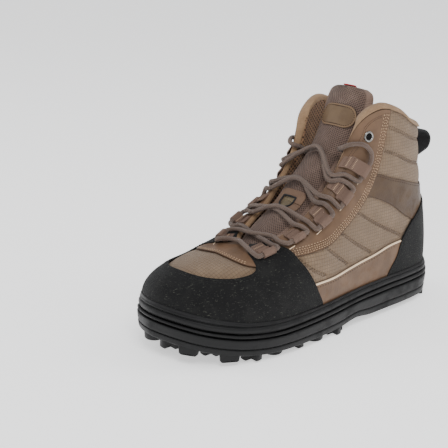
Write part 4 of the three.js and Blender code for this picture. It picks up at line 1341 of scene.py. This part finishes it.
def tongueFront(s, across, off):
    x, z, half, crown, _ = tonguePath(s)
    ahead, behind = tonguePath(s + tiny), tonguePath(s - tiny)
    normal = Vector((ahead[1] - behind[1], 0, behind[0] - ahead[0])).normalized()
    spot = Vector((x, across * half, z)) - normal * (crown * across * across)
    lean = Vector((normal.x, 2 * crown * across / half, normal.z)).normalized()
    return spot + lean * off


tongue = {"columns": 110, "around": 56, "fill": 0.75, "plump": 0.5, "seamAt": 6.5, "seamDeep": 1.1}


def tonguePoint(a, b):
    s = a * tongueEnd
    turn = 2 * math.pi * b
    across = math.sin(turn)
    thick = tonguePath(s)[4] * mix(1, 0.55, across * across)
    ends = math.sqrt(max(0.0, 1 - rampUp(s, tongueEnd - 0.55, tongueEnd) ** 2)) * math.sqrt(clamp(s / 0.2))
    half = thick / 2 * math.sqrt(max(0.0, 1 - abs(across) ** 5)) * ends
    onFront = math.cos(turn) > 0
    soft = 0.0
    if onFront:
        soft = tongue["plump"] * (1 - across * across)
        soft -= tongue["seamDeep"] * math.exp(-((s - tongue["seamAt"]) / 0.05) ** 2)
        soft *= ends
    return tongueFront(s, across, -thick / 2 + (half + soft if onFront else -half))


def sideMark(a, b):
    return (1 - abs(math.sin(2 * math.pi * b))) * tonguePath(a * tongueEnd)[2]


work = gridWork(tongue["columns"], tongue["around"], tonguePoint, welded=True, marks={"side": sideMark})
bmesh.ops.recalc_face_normals(work, faces=work.faces)
tonguePad = addPiece(work, "tonguePad", ["tongue"], "tongue", ["tongue"])


def tongueShareAlong(s, distance):  # the share a real distance further up the centre line
    fine = 0.01
    way = 1 if distance > 0 else -1
    left = abs(distance)
    while left > 0 and 0 < s < tongueEnd:
        here, there = tonguePath(s), tonguePath(s + way * fine)
        left -= math.hypot(there[0] - here[0], there[1] - here[1])
        s += way * fine
    return s


def onTongue(s, x, y, off):  # a flat place laid on the tongue's face: x across, y up
    at = tongueShareAlong(s, y)
    return tongueFront(at, x / tonguePath(at)[2], off)


def atAngle(s, angle, size, off):  # a place on the tongue's face, by angle and distance from a middle
    return onTongue(s, size * math.cos(angle), size * math.sin(angle), off)


def furthest(within, angle, top):  # how far along an angle a flat shape reaches, by halving
    low = 0.0
    for _ in range(24):
        middle = (low + top) / 2
        if within(middle * math.cos(angle), middle * math.sin(angle)):
            low = middle
        else:
            top = middle
    return low


def roundedReach(angle, wide, high, corner):  # distance from the middle to a rounded box's edge
    w, h = wide / 2, high / 2

    def within(x, y):
        x, y = abs(x), abs(y)
        return math.hypot(max(x - w + corner, 0), max(y - h + corner, 0)) <= corner and x <= w and y <= h

    return furthest(within, angle, math.hypot(w, h))


badge = {
    "at": 8.35, "wide": 38, "high": 20, "corner": 9.5, "off": 1.9, "dome": 0.5, "stitches": 54, "seam": 1.8,
}
keeper = {
    "at": 4.05, "wide": 28, "high": 24, "corner": 4, "lowCorner": 10, "off": 1.7, "rim": 0.8,
    "hole": 6.5, "arc": -0.6, "bar": 4.4,
}


def badgePoint(a, b):
    x, y = 2 * a - 1, 2 * b - 1
    reach = max(abs(x), abs(y))
    if reach < 1e-6:
        return onTongue(badge["at"], 0, 0, badge["off"] + badge["dome"])
    angle = math.atan2(y * badge["high"], x * badge["wide"])
    size = roundedReach(angle, badge["wide"], badge["high"], badge["corner"]) * reach
    return atAngle(badge["at"], angle, size, badge["off"] + badge["dome"] * (1 - reach ** 4))


def badgeRim(a, b):
    return max(abs(2 * a - 1), abs(2 * b - 1))


work = gridWork(34, 26, badgePoint, marks={"rim": badgeRim})
addPiece(work, "ovalBadge", ["badge"], "tongue_patch", ["tongue_patch"], thick=1.2, bevel=0.4)


def onBadgeSeam(angle, lift):
    seam = badge["seam"]
    size = roundedReach(angle, badge["wide"] - 2 * seam, badge["high"] - 2 * seam, badge["corner"] - seam)
    return atAngle(badge["at"], angle, size, badge["off"] + lift)


badgeStitches = []
for k in range(badge["stitches"]):
    angle = 2 * math.pi * (k + 0.5) / badge["stitches"]
    spot = onBadgeSeam(angle, 0.4)
    along = (onBadgeSeam(angle + 0.03, 0.4) - spot).normalized()
    out = (onBadgeSeam(angle, 1.25) - spot).normalized()
    badgeStitches.append((spot, along, out, 1.4, 0.8, 0.6))
addPiece(stitchWork(badgeStitches), "badgeStitching", ["darkThread"], "tongue_patch")


def insideHole(x, y):  # the D-shaped hole, straight at the top
    if y < keeper["arc"]:
        return math.hypot(x, y - keeper["arc"]) < keeper["hole"]
    return y < keeper["bar"] and abs(x) < keeper["hole"]


def holeReach(angle):
    return furthest(insideHole, angle, 14.0)


def keeperPoint(a, b):
    angle = 2 * math.pi * a
    corner = mix(keeper["corner"], keeper["lowCorner"], rampUp(math.sin(angle), 0.1, -0.1))
    size = mix(holeReach(angle), roundedReach(angle, keeper["wide"], keeper["high"], corner), b)
    return atAngle(keeper["at"], angle, size, keeper["off"])


work = gridWork(72, 8, keeperPoint, turned=True, welded=True)
addPiece(work, "keeperPatch", ["patchWebbing"], "lace_keeper", ["lace_keeper"], thick=1.3, bevel=0.4)
rimLine = []
for k in range(73):
    angle = 2 * math.pi * k / 72
    rimLine.append(atAngle(keeper["at"], angle, holeReach(angle) + 0.3, keeper["off"] + 0.25))
addPiece(tubeWork(rimLine, keeper["rim"], 8, 0.8, taper=False), "keeperRim", ["blackWebbing"], "lace_keeper")


def keeperNetPoint(a, b):
    angle = 2 * math.pi * a
    return atAngle(keeper["at"], angle, (holeReach(angle) + 0.6) * b, 0.75)


work = gridWork(48, 8, keeperNetPoint, turned=True, welded=True)
addPiece(work, "keeperNet", ["lightMesh"], "lace_keeper", thick=0.5)

topTab = {"from": 10.1, "over": 10.85, "half": 0.42, "off": 0.9, "peek": 1.0}


def topTabPoint(a, b):
    # Up the tongue's back and over its top edge, where it just peeks out
    across = mix(-topTab["half"], topTab["half"], a)
    rows = []
    for s in (topTab["from"], mix(topTab["from"], topTab["over"], 0.5), topTab["over"]):
        rows.append(tongueFront(s, across, -tonguePath(s)[4] * mix(1, 0.5, across * across) - topTab["off"]))
    crest = tongueFront(tongueEnd, across, -1.4)
    rows.append(crest + Vector((0, 0, topTab["peek"])))
    return through(rows, b * 3)


work = gridWork(16, 10, topTabPoint)
addPiece(work, "redTag", ["red"], "tongue_top_tab", ["tongue_top_tab"], thick=0.8, bevel=0.2, depth=0)
print("scene: tongue")

# Lacing: each loop is u, v and where the throat edge faces it
sides = {
    "outer": [
        (10.65, 0.764, 11.9), (9.39, 0.769, 10.1), (8.07, 0.694, 9.0), (6.70, 0.668, 8.15),
        (5.71, 0.713, 7.5)],
    "inner": [
        (14.60, 0.880, 14.5), (16.60, 0.780, 15.9), (17.85, 0.700, 17.0), (19.40, 0.655, 18.0),
        (20.32, 0.675, 18.7)],
}
lacing = {
    "wide": 4.0, "webbing": 1.2, "webbingWide": 12, "fit": 0.3, "facing": 1.4, "guard": 1.8, "patch": 1.2,
    "turn": 4, "edge": 0.97, "press": 0.85, "sides": 14, "spacing": 1.4,
}
lacing["ring"] = lacing["wide"] / 2 + lacing["fit"] + lacing["webbing"]
lacing["stand"] = lacing["fit"] * 3 + lacing["facing"] + lacing["ring"]
lacing["tongueLift"] = lacing["wide"] / 2 + lacing["patch"] + 2 * lacing["fit"]
lacing["crossLift"] = lacing["tongueLift"] + lacing["wide"] * lacing["press"]
lacing["edgeLift"] = lacing["fit"] + lacing["facing"] + lacing["wide"] / 2 + lacing["webbing"]


def loopFrame(rows, k):
    u, v = rows[k][:2]
    before, after = rows[max(k - 1, 0)], rows[min(k + 1, len(rows) - 1)]
    out = lastNormal(u, v)
    upward = (last(*after[:2]) - last(*before[:2])).normalized()
    upward = (upward - out * upward.dot(out)).normalized()
    inward = upward.cross(out)
    if inward.y * last(u, v).y > 0:
        inward = -inward
    return {"centre": skin(u, v, lacing["stand"]), "upward": upward, "inward": inward, "out": out}


frames = {key: [loopFrame(rows, k) for k in range(len(rows))] for key, rows in sides.items()}


def loopEnd(held, way, beyond):
    return held["centre"] + held["upward"] * (way * (lacing["webbingWide"] / 2 + beyond))


def tongueShareAt(x):
    low, high = 0.0, float(tongueEnd)
    while high - low > tiny:
        middle = (low + high) / 2
        low, high = (middle, high) if tonguePath(middle)[0] > x else (low, middle)
    return low


def overFacing(rows, k, way):  # two places where a strand crosses the eyestay, on its way to the next loop
    here, after = rows[k], rows[k + way]
    made = []
    for across, onward in ((0.5, 0.38), (1.0, 0.36)):
        u = mix(mix(here[0], here[2], across), mix(after[0], after[2], across), onward)
        v = mix(mix(here[1], after[1], onward), lacing["edge"], across)
        made.append(skin(u, v, lacing["edgeLift"]))
    return made


def strand(side, k):
    other = "inner" if side == "outer" else "outer"
    start, end = sides[side][k], sides[other][k + 1]
    lift = lacing["crossLift"] if side == "inner" else lacing["tongueLift"]
    x = (last(*start[:2]).x + last(*end[:2]).x) / 2
    return [
        loopEnd(frames[side][k], 1, lacing["turn"]), *overFacing(sides[side], k, 1),
        tongueFront(tongueShareAt(x), 0, lift), *overFacing(sides[other], k + 1, -1)[::-1],
        loopEnd(frames[other][k + 1], -1, lacing["turn"]),
    ]


def climb(side):
    order = [side, "inner" if side == "outer" else "outer"]
    made = []
    for k in range(len(frames[side])):
        here = order[k % 2]
        made += [loopEnd(frames[here][k], way, 0) for way in (-1, 1)]
        if k < len(frames[side]) - 1:
            made += strand(here, k)
    return made


def centripetal(points, fineness=14):  # the same curve as the part's laces
    made = []
    for k in range(len(points) - 1):
        b, c = points[k], points[k + 1]
        a = points[k - 1] if k else b + (b - c)
        d = points[k + 2] if k + 2 < len(points) else c + (c - b)
        steps = [max((q - p).length_squared ** 0.25, 1e-4) for p, q in ((a, b), (b, c), (c, d))]
        first = ((b - a) / steps[0] - (c - a) / (steps[0] + steps[1]) + (c - b) / steps[1]) * steps[1]
        second = ((c - b) / steps[1] - (d - b) / (steps[1] + steps[2]) + (d - c) / steps[2]) * steps[1]
        for n in range(fineness):
            t = n / fineness
            made.append(
                b * (2 * t ** 3 - 3 * t * t + 1) + first * (t ** 3 - 2 * t * t + t)
                + c * (3 * t * t - 2 * t ** 3) + second * (t ** 3 - t * t))
    return made + [points[-1]]


def overWing(u):
    return skin(u, 0.9, lacing["edgeLift"] + lacing["guard"])


bar = [overWing(mirrored(12.1)), skin(ribCount - 1, lacing["edge"], lacing["edgeLift"]), overWing(12.1)]
turns = {side: loopEnd(frames[side][0], -1, lacing["turn"]) for side in frames}
outerLace = [loopEnd(frames["inner"][0], -1, 0), turns["inner"], *bar, turns["outer"], *climb("outer")]
innerLace = [loopEnd(frames["inner"][0], -1, lacing["turn"] / 2), *climb("inner")]
work = joinWorks([
    tubeWork(centripetal(points), lacing["wide"] / 2, lacing["sides"]) for points in (outerLace, innerLace)])
addPiece(work, "laceRun", ["lace"], "laces", ["laces"])

laceEnds = {
    "lateral": ("outer", [
        (-37, 44.3, 155), (-29, 42.2, 162.5), (-19.5, 36, 162.8), (-15, 30.8, 160), (-17, 25.6, 157.6),
        (-23.5, 23.9, 154.8), (-31, 26.8, 150), (-37, 28.4, 143)]),
    "medial": ("inner", [
        (-37, -43, 147), (-29, -41.5, 154.5), (-19, -36, 155), (-14, -30.4, 153.2), (-16, -25.4, 151.5),
        (-21.5, -25, 149.5), (-30, -26.5, 144), (-37, -27.6, 137)]),
}
for side, (held, rows) in laceEnds.items():
    top = frames[held][-1]
    start = [loopEnd(top, 1, 0.6), loopEnd(top, 1, lacing["wide"])]
    route = centripetal(start + [Vector(row) for row in rows])
    centres = evenly(route, lacing["spacing"])
    length = sum((b - a).length for a, b in zip(centres, centres[1:]))
    piece = addPiece(
        tubeWork(route, lacing["wide"] / 2, lacing["sides"], taper=False), f"laceTail_{side}", ["lace"],
        f"lace_end_{side}", [f"lace_end_{side}"])
    place(centres[0])
    [place(point) for point in centres]
    print("scene: lace end", side, round(length, 1), "mm")


webbing = {
    "thick": 1.1, "throat": 0.82, "edge": 0.955, "foot": 0.8, "low": 2.5, "high": 3.4, "from": 62, "to": 285,
    "narrow": 1.6, "tails": (5, 8),
    "stitchRows": [(0.10, 0, 0.0), (0.16, 1, 0.5), (0.22, 0, -0.5), (0.28, 1, 0.0)],  # share, thread, slant
    "stitches": 7, "stitchPitch": 1.45,
}


def loopBandLine(rows, k, held):
    # From the throat's edge over the facing, round the lace and back under itself
    u, v, throat = rows[k]
    line = []
    edgeU = mix(u, throat, webbing["throat"])
    for share in (0.0, 0.33, 0.66, 1.0):
        near = share * webbing["foot"]
        high = mix(webbing["low"], webbing["high"], share)
        line.append(skin(mix(edgeU, u, near), mix(webbing["edge"], v, near), high))
    ringSize = lacing["ring"] - lacing["webbing"] / 2
    for step in range(13):
        angle = math.radians(webbing["from"] + (webbing["to"] - webbing["from"]) * step / 12)
        ray = held["inward"] * math.cos(angle) + held["out"] * math.sin(angle)
        line.append(held["centre"] + ray * ringSize)
    for tail in webbing["tails"]:
        line.append(held["centre"] + held["inward"] * tail - held["out"] * (ringSize + 0.1))
    return evenly(centripetal(line, 6), 0.8)


loopStitches = ([], [])
for side, rows in sides.items():
    sideName = "lateral" if side == "outer" else "medial"
    for k, held in enumerate(frames[side]):
        centres = loopBandLine(rows, k, held)
        count = len(centres) - 1

        def bandPoint(a, b):
            spot = centres[round(a * count)]
            wide = lacing["webbingWide"] - webbing["narrow"] * rampUp(round(a * count), 3, 0)
            return spot + held["upward"] * (wide * (b - 0.5))

        nodeName = f"tab_{sideName}_{k + 1}"
        work = gridWork(count, 8, bandPoint, turned=side == "inner")
        addPiece(
            work, f"webbingLoop_{side}_{k + 1}", ["webbing"], nodeName, [nodeName], thick=webbing["thick"],
            bevel=0.3, depth=0)
        for share, thread, slant in webbing["stitchRows"]:
            at = round(share * count)
            ahead = (centres[at + 1] - centres[at]).normalized()
            out = held["upward"].cross(ahead)
            out = out if out.dot(held["out"]) > 0 else -out
            for n in range(webbing["stitches"]):
                aside = (n - webbing["stitches"] // 2) * webbing["stitchPitch"]
                spot = centres[at] + held["upward"] * aside + out * 0.55
                along = (Matrix.Rotation(slant, 3, out) @ ahead).normalized()
                loopStitches[thread].append((spot, along, out, 1.2, 0.55, 0.5))
        u, v = rows[k][:2]
        corner = skin(u, v, layers["facingOff"] + 0.15) - held["inward"] * (lacing["ring"] - 0.2)
        start = 1 - lacing["webbingWide"] / 2
        slit = [corner + held["upward"] * (start + reach) for reach in (-7.0, -3.5, 0.0)]
        addPiece(tubeWork(slit, 0.42, 8, 0.8), f"slitThread_{side}_{k + 1}", ["cream"], nodeName)
addPiece(stitchWork(loopStitches[0]), "loopStitchingDark", ["darkThread"], "eyestay_lateral")
addPiece(stitchWork(loopStitches[1]), "loopStitchingLight", ["tanThread"], "eyestay_lateral")
print("scene: lacing")

# Metal rings: u, v and outer width
eyelets = {
    "eyelet_lateral": (5.5, 0.876, 9.6), "eyelet_medial": (mirrored(5.5), 0.876, 9.6),
    "drain_eyelet_front": (mirrored(7.0), 0.115, 8.4), "drain_eyelet_rear": (mirrored(5.95), 0.115, 8.4),
}
ringForm = {"bore": 3.0, "barrel": -3.6, "seat": 0.1, "crown": 0.85}
for name, (u, v, wide) in eyelets.items():
    outer, inner = wide / 2, ringForm["bore"]
    middle, half = (outer + inner) / 2, (outer - inner) / 2
    profile = [(inner + 0.1, ringForm["barrel"])]
    for n in range(11):
        angle = math.pi * n / 10
        high = ringForm["seat"] + ringForm["crown"] * math.sin(angle)
        profile.append((middle - half * math.cos(angle), high))
    work = spunWork([*profile, (outer - 0.5, -0.3)], 36)
    bmesh.ops.recalc_face_normals(work, faces=work.faces)
    turn = lastNormal(u, v).to_track_quat("Z", "Y").to_matrix().to_4x4()
    spot = skin(u, v, layers["facingOff"] + 0.1)
    for vert in work.verts:
        vert.co = place(turn @ vert.co + spot)
    addPiece(work, f"ring_{name}", ["metal"], name, [name])
    # painted shade: a near-black disc over the ring's hole stands in for the dark inside
    hole = newWork()[0]
    bmesh.ops.create_circle(hole, cap_ends=True, segments=24, radius=inner + 0.3)
    for vert in hole.verts:
        vert.co = place(turn @ vert.co + skin(u, v, layers["facingOff"] + 0.4))
    addPiece(hole, f"bore_{name}", ["bore"], name)
print("scene: rings")

# Pull loop, swung out behind the heel and stitched back to the collar
pull = {"low": 0.735, "high": 0.925, "wide": 17, "reach": 30}
pullSwing = [(0.35, 0.02), (0.75, 0.12), (0.97, 0.38), (0.90, 0.66), (0.60, 0.82), (0.30, 0.93)]
top, foot = skin(0, pull["high"], 1.4), skin(0, pull["low"], 1.4)
seamX = (top.x + foot.x) / 2
swing = [Vector((seamX - (pull["reach"] - 1) * out, 0, mix(top.z, foot.z, fall))) for out, fall in pullSwing]
backLine = [skin(0, mix(pull["low"], pull["high"], k / 6), 1.4) for k in range(1, 6)]
pullLine = evenly(centripetal([top, *swing, foot, *backLine, top], 8), 0.9)
pullCount = len(pullLine) - 1


def pullPoint(a, b):
    return pullLine[round(a * pullCount)] + Vector((0, (b - 0.5) * pull["wide"], 0))


work = gridWork(pullCount, 12, pullPoint, welded=True)
addPiece(work, "heelPull", ["blackWebbing"], "pull_loop", ["pull_loop"], thick=1.6, bevel=0.4, depth=0)
print("scene: pull loop")


# Piping and stitching
piping = {
    "line": [(8.10, 0.240), (7.84, 0.234), (6.40, 0.184), (4.88, 0.181), (3.95, 0.217), (3.32, 0.236)],
    "radius": 0.85, "off": layers["facingOff"] - 0.1,
}
for side, foot in (("Outer", "lateral"), ("Inner", "medial")):
    line = [(u if side == "Outer" else mirrored(u), v) for u, v in piping["line"]]
    points = [skin(u, v, piping["off"]) for u, v in surfaceLine(line, 0.6)]
    work = tubeWork(points, piping["radius"], 10, 1.2)
    addPiece(work, f"creamPiping{side}", ["cream"], f"side_panel_{foot}")

darkStitches, tanStitches, blackStitches = [], [], []
for line in seamLines:
    for aside in (-1.15, 1.15):
        bare = [spot for spot in sidled(line, aside) if not covered(*spot)]
        darkStitches += lineStitches(bare, 0.2, length=1.6, gap=1.2, width=0.55, high=0.5)


def edgeRows(region, across, insets, off, target, start=0.0, end=1.0, **sizes):
    # Rows of stitches inside one edge of a region, on whichever side of the edge its middle lies
    line = regionLine(region, across, start, end)
    middle = last(*regionPlace(regions[region], (start + end) / 2, 0.5))

    def toMiddle(places):
        return (last(*places[len(places) // 2]) - middle).length

    for inset in insets:
        moved = sidled(line, inset)
        if toMiddle(moved) > toMiddle(line):
            moved = sidled(line, -inset)
        target += lineStitches(moved, off, **sizes)


facingTop = layers["facingOff"] + 0.05
guardTop = layers["guardOff"] + 0.05
straightRun = {"length": 1.7, "gap": 1.2, "width": 0.5, "high": 0.4}
zigzagRun = {"length": 1.5, "gap": 0.9, "width": 0.5, "high": 0.4}
dotRun = {"length": 0.8, "gap": 1.0, "width": 0.6, "high": 0.3}
shortRun = {"length": 1.2, "gap": 0.8, "width": 0.6, "high": 0.4}
plateRun = {"length": 1.7, "gap": 1.1, "width": 0.55, "high": 0.5}
for stay in ("stay", "stayInner"):
    edgeRows(stay, 1, (1.5, 6.9), facingTop, tanStitches, 0.04, 0.98, **straightRun)
    edgeRows(stay, 1, (3.0,), facingTop, tanStitches, 0.04, 0.98, **zigzagRun, slant=0.8)
    edgeRows(stay, 1, (4.9,), facingTop, tanStitches, 0.04, 0.98, **zigzagRun, slant=-0.8)
    edgeRows(stay, 1, (2.2, 3.95, 5.9), facingTop, darkStitches, 0.04, 0.98, **dotRun)
    edgeRows(stay, 0, (5.2, 6.6), facingTop, darkStitches, 0.2, 0.96, **shortRun)
edgeRows("plate", 1, (1.6, 3.4), facingTop, tanStitches, 0.12, 0.88, **plateRun)
for region, across, start, end in (
        ("cap", 1, 0.02, 0.98), ("cap", 0, 0.0, 0.27), ("cap", 0, 0.73, 1.0),
        ("counter", 0, 0.1, 1.0), ("counter", 1, 0.1, 1.0)):
    edgeRows(region, across, (1.8, 4.0), guardTop, blackStitches, start, end)
edgeRows("band", 0, (2.0,), layers["facingOff"] - 0.45, darkStitches)
for panel in ("panel", "panelInner"):
    edgeRows(panel, 0, (3.0,), facingTop, darkStitches, 0.1, 0.85)
for name, rows, finish in (
        ("darkStitching", darkStitches, "darkThread"), ("tanStitching", tanStitches, "tanThread"),
        ("guardStitching", blackStitches, "blackThread")):
    addPiece(stitchWork(rows), name, [finish], "upper")
print("scene: stitches", len(darkStitches) + len(tanStitches) + len(blackStitches))

low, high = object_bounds()
